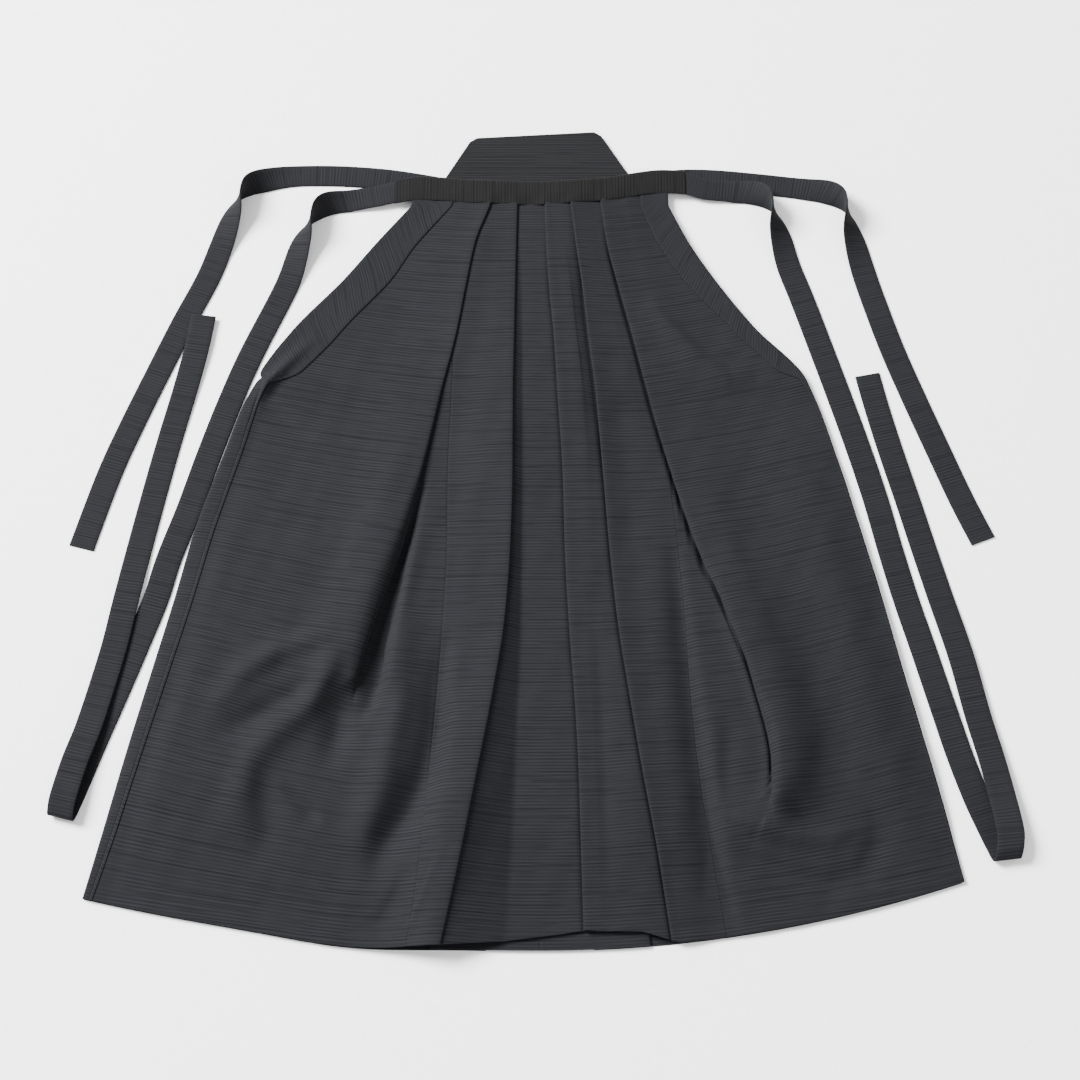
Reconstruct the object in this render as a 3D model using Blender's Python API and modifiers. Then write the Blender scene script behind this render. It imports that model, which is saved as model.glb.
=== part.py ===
"""Hakama trousers of striped charcoal cloth, laid flat with the front up.

The garment lies on the floor plane with its waist towards +Y and its hem towards -Y. It is drawn
in its own plan, whose origin is the middle of the front band's lower edge, and an empty then moves
everything so that the part's origin is under the middle of its box.

A place on a leg is given by x and by "leg", the share of the way from the front band (0) to the
hem (1). The cloth's layers are counted in levels, one layer of pressed cloth on the next.
"""
import bpy
import math
from collections import namedtuple
from mathutils import Vector

# ---------------------------------------------------------------- driving dimensions, metres
LEG_LENGTH = 0.936          # front band's lower edge to the hem
HEM_BOW_LEFT = 0.235        # how fast the hem rises away from the middle, per metre
HEM_BOW_RIGHT = 0.36
WALL = 0.0010               # one layer of cloth
SEAM_GAP = 0.0003           # between sewn pieces
LEVEL_WAIST = 0.0017        # layer on layer where the pleats are pressed
LEVEL_HEM = 0.0027          # layer on layer where they loosen
PLEAT_DEPTH = 0.028         # how far a pleat's hidden part reaches under it
OPEN_DEPTH = 0.006          # the same where a loose pleat is about to fall open
LOOSE_EDGE = 0.0035         # how far a loose pleat's edge lifts

BOARD_BASE_Y = 0.015        # back board's lower edge
BOARD_THICK = 0.0050
BAND_TOP = 0.034            # front band's height
BAND_WALL = 0.0012
BAND_INSIDE = 0.0061        # height of the band's inner wall, just above the back board
BAND_REACH = 0.180          # from the middle to where each front tie begins
BAND_END_THICK = 0.0030     # between the band's walls at its ends

TIE_WIDTH = 0.030
TIE_THICK = 0.0022
FLOOR_GAP = 0.00002         # a tie's underside above the floor

BILLOW = 0.0060             # loose cloth stands this far off the back

# ---------------------------------------------------------------- plan of the front
# Where each pleat's edge and each seam runs, in metres from the middle line.
Plan = namedtuple("Plan", "leg side_left pleat_a seam_b pleat_c pleat_d pleat_e pleat_f seam_g side_right")
PLAN = (
    Plan(0.00, -0.158, -0.061, -0.080, -0.028, 0.006, 0.038, 0.075, 0.096, 0.158),
    Plan(0.06, -0.199, -0.079, -0.090, -0.029, 0.008, 0.044, 0.082, 0.104, 0.181),
    Plan(0.12, -0.238, -0.089, -0.098, -0.030, 0.011, 0.051, 0.094, 0.116, 0.211),
    Plan(0.20, -0.296, -0.101, -0.103, -0.031, 0.017, 0.058, 0.111, 0.129, 0.258),
    Plan(0.28, -0.3395, -0.117, -0.105, -0.032, 0.021, 0.066, 0.127, 0.139, 0.3155),
    Plan(0.40, -0.3735, -0.138, -0.108, -0.032, 0.027, 0.074, 0.153, 0.150, 0.347),
    Plan(0.50, -0.3985, -0.161, -0.107, -0.034, 0.029, 0.080, 0.178, 0.158, 0.3675),
    Plan(0.60, -0.4165, -0.187, -0.110, -0.040, 0.033, 0.088, 0.211, 0.164, 0.387),
    Plan(0.70, -0.436, -0.204, -0.116, -0.053, 0.039, 0.100, 0.238, 0.168, 0.4045),
    Plan(0.80, -0.4555, -0.208, -0.123, -0.069, 0.043, 0.113, 0.254, 0.175, 0.423),
    Plan(0.90, -0.474, -0.215, -0.130, -0.086, 0.045, 0.128, 0.250, 0.187, 0.4415),
    Plan(1.00, -0.493, -0.225, -0.142, -0.106, 0.047, 0.141, 0.246, 0.200, 0.4585),
)

# How wide the front's side edge is turned over on top: broad along the open side, a narrow hem below.
Turn = namedtuple("Turn", "leg left right")
TURNED = (
    Turn(0.000, 0.050, 0.034),
    Turn(0.060, 0.049, 0.037),
    Turn(0.120, 0.055, 0.036),
    Turn(0.200, 0.056, 0.026),
    Turn(0.262, 0.046, 0.026),
    Turn(0.285, 0.008, 0.006),
    Turn(0.320, 0.005, 0.004),
    Turn(1.000, 0.005, 0.004),
)

# The back, under the front: its one pleat each side, its side edges and the strip of the left
# back that rolls round onto the front.
Back = namedtuple("Back", "leg pleat depth side_left side_right rolled")
BACK = (
    Back(0.00, 0.012, 0.030, -0.132, 0.128, 0.003),
    Back(0.12, 0.016, 0.033, -0.222, 0.205, 0.003),
    Back(0.262, 0.022, 0.038, -0.325, 0.299, 0.003),
    Back(0.28, 0.023, 0.039, -0.3395, 0.3135, 0.009),
    Back(0.40, 0.028, 0.042, -0.3735, 0.345, 0.017),
    Back(0.50, 0.033, 0.045, -0.3985, 0.3655, 0.019),
    Back(0.60, 0.038, 0.048, -0.4165, 0.385, 0.018),
    Back(0.70, 0.043, 0.051, -0.436, 0.4025, 0.0165),
    Back(0.80, 0.048, 0.054, -0.4555, 0.421, 0.0145),
    Back(0.90, 0.053, 0.057, -0.474, 0.4395, 0.0115),
    Back(1.00, 0.058, 0.060, -0.493, 0.4565, 0.007),
)

# Loose pleats fall open towards the hem: between these shares of the leg.
OPENS_A = (0.62, 0.72)
OPENS_F = (0.81, 0.89)

# A loose pleat in section, from its broad panel round its edge and back to its inner fold. Pressed,
# a point lies "reach" of the pleat's depth in from the edge, moved in by "tuck" half levels, and
# "up" levels above the strip below. Half open the cloth stands on edge, "stand_in" in from the edge
# line and "stand_up" levels up. Open it lies flat, "open_in" from that line.
Loose = namedtuple("Loose", "reach tuck up lift stand_in stand_up open_in")
LOOSE_PLEAT = (
    Loose(1.0, 0.0, 2.0, 0.6, 0.0080, 2.00, 0.032),
    Loose(0.5, 0.0, 2.0, 1.0, 0.0040, 2.00, 0.022),
    Loose(0.0, 1.0, 2.0, 1.0, 0.0012, 1.85, 0.014),
    Loose(0.0, 0.0, 1.5, 0.5, -0.0003, 1.50, 0.007),
    Loose(0.0, 1.0, 1.0, 0.0, -0.0006, 1.15, 0.002),
    Loose(0.5, 0.0, 1.0, 0.0, -0.0008, 0.85, -0.003),
    Loose(1.0, -1.0, 1.0, 0.0, -0.0012, 0.50, -0.008),
    Loose(1.0, 0.0, 0.5, 0.0, -0.0020, 0.20, -0.013),
)
STRIP_STAND_IN = -0.005     # where the strip below begins when the pleat is half open, and open
STRIP_OPEN_IN = -0.020

# Soft folds of the laid cloth: each a line on the plan with its half width and its height, which
# is negative where the cloth sinks.
Fold = namedtuple("Fold", "x y half_width height")
SOFT_FOLDS = (
    # the hollow where the left pleat gapes
    (Fold(-0.160, -0.451, 0.012, 0.000), Fold(-0.174, -0.520, 0.014, -0.003),
     Fold(-0.188, -0.600, 0.017, -0.007), Fold(-0.197, -0.655, 0.017, -0.006),
     Fold(-0.205, -0.700, 0.015, 0.000)),
    # the ridge that the opened pleat leaves
    (Fold(-0.172, -0.600, 0.012, 0.002), Fold(-0.185, -0.668, 0.012, 0.006),
     Fold(-0.193, -0.741, 0.012, 0.006), Fold(-0.204, -0.800, 0.012, 0.004),
     Fold(-0.214, -0.840, 0.012, 0.000)),
    # the trough between that ridge and the seam
    (Fold(-0.124, -0.590, 0.014, 0.000), Fold(-0.146, -0.670, 0.015, -0.005),
     Fold(-0.163, -0.758, 0.016, -0.008), Fold(-0.188, -0.820, 0.015, -0.006),
     Fold(-0.204, -0.870, 0.014, 0.000)),
    # a long low ridge across the left panel
    (Fold(-0.215, -0.560, 0.022, 0.000), Fold(-0.248, -0.632, 0.020, 0.004),
     Fold(-0.298, -0.697, 0.020, 0.005), Fold(-0.335, -0.760, 0.022, 0.000)),
    # the dip above it
    (Fold(-0.290, -0.600, 0.015, 0.000), Fold(-0.335, -0.650, 0.016, -0.003),
     Fold(-0.375, -0.685, 0.015, 0.000)),
    # the roll along the right pleat's loose edge
    (Fold(0.205, -0.480, 0.012, 0.000), Fold(0.240, -0.600, 0.013, 0.004),
     Fold(0.260, -0.700, 0.014, 0.006), Fold(0.252, -0.765, 0.013, 0.003)),
    # the valley beside it
    (Fold(0.250, -0.480, 0.018, 0.000), Fold(0.278, -0.600, 0.018, -0.004),
     Fold(0.290, -0.700, 0.018, -0.005), Fold(0.286, -0.765, 0.016, -0.003)),
    # the ridge and the trough that cross below it
    (Fold(0.192, -0.787, 0.014, 0.000), Fold(0.241, -0.795, 0.014, 0.004),
     Fold(0.294, -0.812, 0.014, 0.004), Fold(0.330, -0.803, 0.014, 0.000)),
    (Fold(0.200, -0.828, 0.014, 0.000), Fold(0.250, -0.832, 0.014, -0.004),
     Fold(0.301, -0.858, 0.014, -0.005), Fold(0.345, -0.835, 0.013, -0.004),
     Fold(0.366, -0.785, 0.012, 0.000)),
    # drag lines that run out from the waist
    (Fold(0.140, -0.128, 0.010, 0.000), Fold(0.174, -0.171, 0.012, 0.003),
     Fold(0.202, -0.207, 0.012, 0.003), Fold(0.242, -0.221, 0.010, 0.000)),
)

# The front band's lower edge.
Edge = namedtuple("Edge", "x y")
BAND_EDGE = (
    Edge(-0.180, 0.0035), Edge(-0.150, 0.0080), Edge(-0.075, 0.0020), Edge(0.0, 0.0000),
    Edge(0.075, 0.0050), Edge(0.156, 0.0180), Edge(0.180, 0.0170),
)

# ---------------------------------------------------------------- ties
# A tie's middle line: its place, its height where it is lifted, how far it is rolled over, and
# whether it has turned back on itself.
Way = namedtuple("Way", "x y height roll turned")
FRONT_TIE_LEFT = (
    Way(-0.1805, 0.0205, 0.0076, 0, 0), Way(-0.200, 0.0160, 0.0062, 0, 0),
    Way(-0.232, 0.0110, 0.0036, 6, 0), Way(-0.260, 0.0030, 0.0070, 34, 0),
    Way(-0.280, -0.020, 0.0150, 92, 0), Way(-0.292, -0.050, 0.0090, 148, 0),
    Way(-0.304, -0.098, 0.0020, 176, 0), Way(-0.317, -0.134, 0.0011, 180, 0),
    Way(-0.347, -0.208, 0.0011, 180, 0), Way(-0.3695, -0.275, 0.0011, 180, 0),
    Way(-0.390, -0.345, 0.0011, 180, 0), Way(-0.408, -0.412, 0.0011, 180, 0),
    Way(-0.427, -0.475, 0.0011, 180, 0), Way(-0.439, -0.527, 0.0011, 180, 0),
    Way(-0.457, -0.585, 0.0011, 180, 0), Way(-0.475, -0.640, 0.0011, 180, 0),
    Way(-0.494, -0.696, 0.0011, 180, 0), Way(-0.510, -0.746, 0.0011, 180, 0),
    Way(-0.519, -0.773, 0.0014, 180, 0), Way(-0.5230, -0.7850, 0.0035, 180, 0),
    Way(-0.5240, -0.7885, 0.0080, 180, 0), Way(-0.5235, -0.7840, 0.0126, 180, 1),
    Way(-0.5215, -0.7670, 0.0145, 180, 1), Way(-0.5130, -0.725, 0.0112, 180, 1),
    Way(-0.502, -0.685, 0.0080, 180, 1), Way(-0.492, -0.639, 0.0052, 180, 1),
    Way(-0.481, -0.585, 0.0044, 180, 1), Way(-0.472, -0.527, 0.0042, 180, 1),
    Way(-0.462, -0.464, 0.0016, 180, 1), Way(-0.450, -0.395, 0.0011, 180, 1),
    Way(-0.437, -0.325, 0.0011, 180, 1), Way(-0.423, -0.258, 0.0022, 180, 1),
    Way(-0.412, -0.200, 0.0044, 180, 1), Way(-0.406, -0.154, 0.0046, 180, 1),
)
FRONT_TIE_RIGHT = (
    Way(0.1805, 0.0340, 0.0076, 0, 0), Way(0.204, 0.0260, 0.0062, 0, 0),
    Way(0.236, 0.0240, 0.0040, -4, 0), Way(0.266, 0.0180, 0.0070, -34, 0),
    Way(0.286, -0.003, 0.0150, -92, 0), Way(0.294, -0.036, 0.0090, -148, 0),
    Way(0.303, -0.080, 0.0020, -176, 0), Way(0.318, -0.129, 0.0011, -180, 0),
    Way(0.338, -0.199, 0.0011, -180, 0), Way(0.357, -0.267, 0.0011, -180, 0),
    Way(0.375, -0.334, 0.0011, -180, 0), Way(0.391, -0.400, 0.0011, -180, 0),
    Way(0.404, -0.464, 0.0011, -180, 0), Way(0.418, -0.527, 0.0011, -180, 0),
    Way(0.434, -0.590, 0.0011, -180, 0), Way(0.450, -0.655, 0.0011, -180, 0),
    Way(0.465, -0.715, 0.0011, -180, 0), Way(0.480, -0.765, 0.0011, -180, 0),
    Way(0.494, -0.803, 0.0011, -180, 0), Way(0.5010, -0.8220, 0.0018, -180, 0),
    Way(0.5045, -0.8318, 0.0038, -180, 0), Way(0.5065, -0.8362, 0.0080, -180, 0),
    Way(0.5082, -0.8322, 0.0124, -180, 1), Way(0.5102, -0.8225, 0.0145, -180, 1),
    Way(0.5115, -0.8060, 0.0140, -180, 1), Way(0.508, -0.775, 0.0108, -180, 1),
    Way(0.499, -0.720, 0.0062, -180, 1), Way(0.488, -0.668, 0.0046, -180, 1),
    Way(0.475, -0.597, 0.0034, -180, 1), Way(0.457, -0.522, 0.0011, -180, 1),
    Way(0.443, -0.464, 0.0011, -180, 1), Way(0.428, -0.400, 0.0011, -180, 1),
    Way(0.412, -0.334, 0.0011, -180, 1), Way(0.400, -0.280, 0.0011, -180, 1),
    Way(0.391, -0.234, 0.0011, -180, 1),
)
BACK_TIE_LEFT = (
    Way(-0.126, 0.0310, 0.0025, 0, 0), Way(-0.180, 0.042, 0.0013, 0, 0),
    Way(-0.224, 0.047, 0.0011, 0, 0), Way(-0.270, 0.049, 0.0011, 0, 0),
    Way(-0.312, 0.047, 0.0016, 4, 0), Way(-0.346, 0.036, 0.0070, 32, 0),
    Way(-0.368, 0.016, 0.0150, 92, 0), Way(-0.379, -0.012, 0.0090, 146, 0),
    Way(-0.391, -0.055, 0.0020, 176, 0), Way(-0.405, -0.101, 0.0011, 180, 0),
    Way(-0.431, -0.164, 0.0011, 180, 0), Way(-0.457, -0.233, 0.0011, 180, 0),
    Way(-0.482, -0.301, 0.0011, 180, 0), Way(-0.504, -0.367, 0.0011, 180, 0),
    Way(-0.529, -0.462, 0.0011, 180, 0),
)
BACK_TIE_RIGHT = (
    Way(0.122, 0.0310, 0.0025, 0, 0), Way(0.165, 0.042, 0.0013, 0, 0),
    Way(0.210, 0.043, 0.0011, 0, 0), Way(0.270, 0.037, 0.0011, 0, 0),
    Way(0.325, 0.029, 0.0016, -4, 0), Way(0.357, 0.019, 0.0070, -34, 0),
    Way(0.377, -0.004, 0.0150, -92, 0), Way(0.384, -0.040, 0.0090, -148, 0),
    Way(0.393, -0.083, 0.0020, -176, 0), Way(0.404, -0.129, 0.0011, -180, 0),
    Way(0.423, -0.199, 0.0011, -180, 0), Way(0.445, -0.267, 0.0011, -180, 0),
    Way(0.468, -0.334, 0.0011, -180, 0), Way(0.491, -0.400, 0.0011, -180, 0),
    Way(0.512, -0.453, 0.0011, -180, 0),
)

# ---------------------------------------------------------------- back board's outline
BOARD_OUTLINE = (
    (-0.134, BOARD_BASE_Y), (0.130, BOARD_BASE_Y), (0.077, 0.107), (0.068, 0.113), (-0.079, 0.104), (-0.088, 0.098),
)

# ---------------------------------------------------------------- how finely the cloth is divided
FRONT_STATIONS = (-0.028, 0.005, 0.04, 0.08, 0.14, 0.20, 0.262, 0.280, 0.305, 0.36, 0.43, 0.50, 0.56,
                  0.62, 0.645, 0.67, 0.72, 0.765, 0.81, 0.83, 0.85, 0.89, 0.925, 0.965, 1.0)
BACK_STATIONS_LEFT = (-0.0157, 0.08) + FRONT_STATIONS[5:]
BACK_STATIONS_RIGHT = (-0.0157, 0.08, 0.20, 0.262, 0.280, 0.36, 0.50, 0.62, 0.765, 0.89, 1.0)
BAND_STEPS = 16
TIE_STEPS = 3
TIE_REACH = 0.020           # a tie's direction is read between places this far before and after
TIE_FOLD = 0.012            # a tie that turns back lies along its fold this near it
TIE_UNTWISTS = 0.050        # and square to its own way this far from it

CLOTH_COLOUR = (0.036, 0.038, 0.043, 1.0)
BAND_COLOUR = (0.040, 0.039, 0.040, 1.0)
TIE_COLOUR = (0.044, 0.043, 0.046, 1.0)
BOARD_COLOUR = (0.033, 0.034, 0.037, 1.0)


# ---------------------------------------------------------------- small helpers
def mix(a, b, share):
    """The value the given share of the way from a to b."""
    return a + (b - a) * share


def ramp(value, low, high):
    """0 at low, 1 at high, straight between."""
    return min(max((value - low) / (high - low), 0.0), 1.0)


def ease(value, low, high):
    """0 at low, 1 at high, with soft ends."""
    t = ramp(value, low, high)
    return t * t * (3.0 - 2.0 * t)


def follow(table, column, leg):
    """A table's column at a value of its first one, on a smooth line that never overshoots."""
    rows = [(row[0], getattr(row, column)) for row in table]
    if leg <= rows[0][0]:
        return rows[0][1]
    if leg >= rows[-1][0]:
        return rows[-1][1]
    slopes = [(b[1] - a[1]) / (b[0] - a[0]) for a, b in zip(rows, rows[1:])]

    def tangent(i):
        if i in (0, len(rows) - 1):
            return slopes[0 if i == 0 else -1]
        before, after = slopes[i - 1], slopes[i]
        return 0.0 if before * after <= 0.0 else 2.0 * before * after / (before + after)

    for i, (start, end) in enumerate(zip(rows, rows[1:])):
        if leg <= end[0]:
            span = end[0] - start[0]
            t = (leg - start[0]) / span
            return ((1 + 2 * t) * (1 - t) ** 2 * start[1] + t * (1 - t) ** 2 * span * tangent(i)
                    + t * t * (3 - 2 * t) * end[1] - t * t * (1 - t) * span * tangent(i + 1))


def level_height(leg):
    """Thickness of one level of layered cloth."""
    return mix(LEVEL_WAIST, LEVEL_HEM, ease(leg, 0.15, 0.75))


def plan_y(x, leg):
    """Distance down the garment; the weft bows up towards both sides, as the hem does."""
    if leg <= 0.0:
        return -LEG_LENGTH * leg
    flare = follow(PLAN, "side_right", leg) / PLAN[-1].side_right
    bow = HEM_BOW_LEFT if x < 0.0 else HEM_BOW_RIGHT
    return -LEG_LENGTH * leg + bow * leg * (x / flare) ** 2


def fold_height(x, y):
    """Sum of the soft folds at a place on the plan."""
    total = 0.0
    for line in SOFT_FOLDS:
        nearest = None
        for start, end in zip(line, line[1:]):
            along = Vector((end.x - start.x, end.y - start.y))
            offset = Vector((x - start.x, y - start.y))
            t = min(max(offset.dot(along) / along.length_squared, 0.0), 1.0)
            distance = (offset - along * t).length
            share = distance / mix(start.half_width, end.half_width, t)
            if nearest is None or share < nearest[0]:
                nearest = (share, mix(start.height, end.height, t))
        total += nearest[1] * math.exp(-nearest[0] ** 2)
    return total


class Station:
    """One section across the garment: the lines of the plan at a place on the leg, and heights."""

    def __init__(self, leg):
        self.leg = leg
        self.step = level_height(leg)
        self.side_left = follow(PLAN, "side_left", leg)
        self.side_right = follow(PLAN, "side_right", leg)
        self.a = follow(PLAN, "pleat_a", leg)
        self.b = follow(PLAN, "seam_b", leg)
        self.c = follow(PLAN, "pleat_c", leg)
        self.d = follow(PLAN, "pleat_d", leg)
        self.e = follow(PLAN, "pleat_e", leg)
        self.f = follow(PLAN, "pleat_f", leg)
        self.g = follow(PLAN, "seam_g", leg)
        self.a_in = self.a - mix(PLEAT_DEPTH, OPEN_DEPTH, ease(leg, 0.40, OPENS_A[0]))
        self.c_in = self.c - PLEAT_DEPTH
        self.d_in = self.d + PLEAT_DEPTH
        self.e_in = self.e + PLEAT_DEPTH
        self.f_in = self.f + mix(PLEAT_DEPTH, OPEN_DEPTH, ease(leg, 0.60, OPENS_F[0]))
        self.leg_end = mix(self.c, self.d, 0.4)          # right leg's hidden edge, under the left's
        self.back_pleat = follow(BACK, "pleat", leg)
        self.back_in = self.back_pleat + follow(BACK, "depth", leg)
        self.rolled = follow(BACK, "rolled", leg)
        self.open_a = ease(leg, *OPENS_A)
        self.open_f = ease(leg, *OPENS_F)
        self.ease_left = min(0.035, 0.5 * (self.a_in - self.side_left))
        self.ease_right = min(0.040, 0.5 * (self.side_right - self.f_in))
        knots = (self.a_in, self.c_in, self.leg_end, self.d, self.d_in, self.e, self.e_in, self.f_in)
        self.knots = [(x, self.floor_of_front(x) + self.soft(x)) for x in knots]

    # levels of the front's strips above the lowest one
    def level_cd(self, x):
        return ramp(x, self.c_in, self.leg_end)

    def level_ac(self, x):
        return 2.0 * ramp(x, self.a_in, self.c_in) + self.level_cd(x)

    def level_left(self, x):
        return 2.0 * ramp(x, self.a_in - self.ease_left, self.a_in) + self.level_ac(x)

    def level_de(self, x):
        return 3.0 - 3.0 * ramp(x, self.d_in, self.e_in)

    def level_ef(self, x):
        return 2.0 - 2.0 * ramp(x, self.e_in, self.f_in) + self.level_de(x)

    def level_right(self, x):
        return 2.0 - 2.0 * ramp(x, self.f_in, self.f_in + self.ease_right) + self.level_ef(x)

    def top_level(self, x):
        """Level of the cloth that shows at x."""
        if x < self.a:
            return self.level_left(x)
        if x < self.c:
            return self.level_ac(x)
        if x < self.d:
            return self.level_cd(x)
        if x < self.e:
            return self.level_de(x)
        if x < self.f:
            return self.level_ef(x)
        return self.level_right(x)

    def floor_of_front(self, x):
        """Height of the middle of the front's lowest layer."""
        inside = 1.0 - ramp(abs(x), self.back_in, self.back_in + 0.030)
        beside = 1.0 + (1.0 - ease(self.leg, 0.280, 0.305))
        resting = WALL / 2 + self.step * mix(beside, 4.0, inside)
        under_band = BAND_INSIDE + BAND_WALL / 2 + WALL / 2 + 0.0006
        return mix(max(under_band, resting), resting, ease(self.leg, 0.03, 0.13))

    def soft(self, x):
        """What the loose cloth adds: a general billow and the soft folds, never below nothing."""
        loose = ease(self.leg, 0.30, 0.62)
        off_middle = ease(abs(x), 0.055, 0.14)
        edge = -self.side_left if x < 0.0 else self.side_right
        billow = BILLOW * loose * off_middle * ease(edge - abs(x), 0.0, 0.05)
        roll = 0.0
        if x < 0.0:
            roll = 0.0026 * ease(self.leg, 0.30, 0.36) * (1.0 - ease(x, self.side_left + 0.010, self.side_left + 0.030))
        return max(billow + roll + fold_height(x, plan_y(x, self.leg)) * ease(self.leg, 0.1, 0.2), 0.0)

    def base(self, x):
        """Height of the lowest layer, straight between the pleats' lines so that layers stay parallel."""
        for (start, z_start), (end, z_end) in zip(self.knots, self.knots[1:]):
            if start <= x <= end:
                return mix(z_start, z_end, (x - start) / (end - start))
        return self.floor_of_front(x) + self.soft(x)

    def point(self, x, level, lift=0.0):
        """A point of the front's cloth on the plan."""
        return Vector((x, plan_y(x, self.leg), self.base(x) + level * self.step + lift))

    def loose_point(self, x, level):
        """The same where the cloth lies open and follows every soft fold."""
        return Vector((x, plan_y(x, self.leg), self.floor_of_front(x) + self.soft(x) + level * self.step))

    def settled(self, x, level, level_open, share):
        """A point of a panel beside a loose pleat, which sinks as the pleat opens."""
        return self.point(x, level).lerp(self.loose_point(x, level_open), share)

    def loose_pleat(self, edge, inside, under, share, edge_lift):
        """A loose pleat's points, for the share to which it has fallen open."""
        depth = inside - edge
        inward = math.copysign(1.0, depth)
        points = []
        for row in LOOSE_PLEAT:
            x = edge + row.reach * depth + inward * row.tuck * self.step / 2
            pressed = self.point(x, under(x) + row.up, row.lift * edge_lift)
            x = edge + inward * row.stand_in
            standing = self.point(x, under(x) + row.stand_up, row.lift * edge_lift)
            x = edge + inward * row.open_in
            points.append(fall_open(pressed, standing, self.loose_point(x, under(x)), share))
        return points

    def strip_below(self, edge, inside, end, under, share):
        """The strip that runs on from a loose pleat's inner fold to the next seam."""
        inward = math.copysign(1.0, inside - edge)
        pressed = spread(inside - inward * self.step / 2, end, 4)
        standing = spread(edge + inward * STRIP_STAND_IN, end, 4)
        opened = spread(edge + inward * STRIP_OPEN_IN, end, 4)
        return [fall_open(self.point(x, under(x)), self.point(x_stand, under(x_stand)),
                          self.loose_point(x_open, under(x_open)), share)
                for x, x_stand, x_open in zip(pressed, standing, opened)]


def fall_open(pressed, standing, opened, share):
    """Between the three states of a loose pleat: 0 pressed, a half standing on edge, 1 open."""
    if share < 0.5:
        return pressed.lerp(standing, 2.0 * share)
    return standing.lerp(opened, 2.0 * share - 1.0)


def spread(start, end, count):
    """Evenly spaced values from start to end, both included."""
    return [mix(start, end, i / (count - 1)) for i in range(count)]


# ---------------------------------------------------------------- sections of the front
PANEL_SHARES = (0.0, 0.14, 0.28, 0.44, 0.60, 0.76)       # from the pleat towards the side edge


def section_outer_left(leg):
    """Side edge turned over, the broad left panel, pleat A and on to seam B."""
    s = Station(leg)
    half = s.step / 2
    edge = s.side_left + ease(leg, 0.262, 0.280) * (s.rolled + WALL + SEAM_GAP)
    turned = follow(TURNED, "left", leg)
    points = [s.point(x, s.level_left(x) + 1.0) for x in spread(edge + turned, edge + half, 4)]
    points.append(s.point(edge, s.level_left(edge) + 0.5))
    inner = s.a_in - s.ease_left
    outer = edge + half
    panel = [outer, mix(inner, outer, 0.95), mix(inner, outer, 0.87)]
    panel += [mix(inner, outer, share) for share in reversed(PANEL_SHARES)]
    points += [s.settled(x, s.level_left(x), s.level_ac(x), s.open_a) for x in panel]
    edge_lift = LOOSE_EDGE * ease(leg, 0.2, 0.5)
    points += s.loose_pleat(s.a, s.a_in, s.level_ac, s.open_a, edge_lift)
    points += s.strip_below(s.a, s.a_in, s.b - SEAM_GAP / 2, s.level_ac, s.open_a)
    return points


def section_inner_left(leg):
    """From seam B over pleat C and on under the right leg's first pleat."""
    s = Station(leg)
    half = s.step / 2
    start = s.b + SEAM_GAP / 2
    places = [start, mix(start, s.c_in, 0.5), s.c_in, mix(s.c_in, s.c, 0.5), s.c - half]
    points = [s.settled(x, s.level_ac(x), s.level_ac(x), s.open_a if x < s.c_in else 0.0) for x in places]
    points.append(s.point(s.c, s.level_cd(s.c) + 1.5))
    points += [s.point(x, s.level_cd(x) + 1.0) for x in (s.c - half, mix(s.c, s.c_in, 0.5), s.c_in + half)]
    points.append(s.point(s.c_in, 0.5))
    end = mix(s.d, s.d_in, 0.6)
    places = [s.c_in + half, mix(s.c, s.c_in, 0.5), s.c, s.leg_end, mix(s.leg_end, s.d, 0.5), s.d, end]
    points += [s.point(x, s.level_cd(x)) for x in places]
    return points


def section_inner_right(leg):
    """From the right leg's hidden edge over pleats D and E to seam G."""
    s = Station(leg)
    half = s.step / 2
    points = [s.point(x, 0.0) for x in (s.leg_end, mix(s.leg_end, s.d, 0.5), s.d, s.d_in - s.step)]
    points.append(s.point(s.d_in, 1.0))
    points += [s.point(x, 2.0) for x in (s.d_in - s.step, mix(s.d, s.d_in, 0.5), s.d + half)]
    points.append(s.point(s.d, 2.5))
    places = [s.d + half, mix(s.d, s.d_in, 0.5), s.d_in, s.e, mix(s.e, s.e_in, 0.5), s.e_in - half]
    points += [s.point(x, s.level_de(x)) for x in places]
    points.append(s.point(s.e_in, s.level_de(s.e_in) + 0.5))
    points += [s.point(x, s.level_de(x) + 1.0) for x in (s.e_in - half, mix(s.e, s.e_in, 0.5), s.e + half)]
    points.append(s.point(s.e, s.level_de(s.e) + 1.5))
    end = s.g - SEAM_GAP / 2
    places = [s.e + half, mix(s.e, s.e_in, 0.5), min(s.e_in, end - 0.004), mix(min(s.e_in, end - 0.004), end, 0.5), end]
    points += [s.settled(x, s.level_ef(x), s.level_ef(x), s.open_f if x > s.e_in else 0.0) for x in places]
    return points


def section_outer_right(leg):
    """From seam G over pleat F, the broad right panel and its turned side edge."""
    s = Station(leg)
    half = s.step / 2
    points = s.strip_below(s.f, s.f_in, s.g + SEAM_GAP / 2, s.level_ef, s.open_f)[::-1]
    edge_lift = LOOSE_EDGE * ease(leg, 0.3, 0.6)
    points += s.loose_pleat(s.f, s.f_in, s.level_ef, s.open_f, edge_lift)[::-1]
    edge = s.side_right
    inner = s.f_in + s.ease_right
    outer = edge - half
    panel = [mix(inner, outer, share) for share in PANEL_SHARES]
    panel += [mix(inner, outer, 0.90), outer]
    points += [s.settled(x, s.level_right(x), s.level_ef(x), s.open_f) for x in panel]
    points.append(s.point(edge, 0.5 + s.level_right(edge)))
    turned = follow(TURNED, "right", leg)
    points += [s.point(x, s.level_right(x) + 1.0) for x in spread(edge - half, edge - turned, 4)]
    return points


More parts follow.
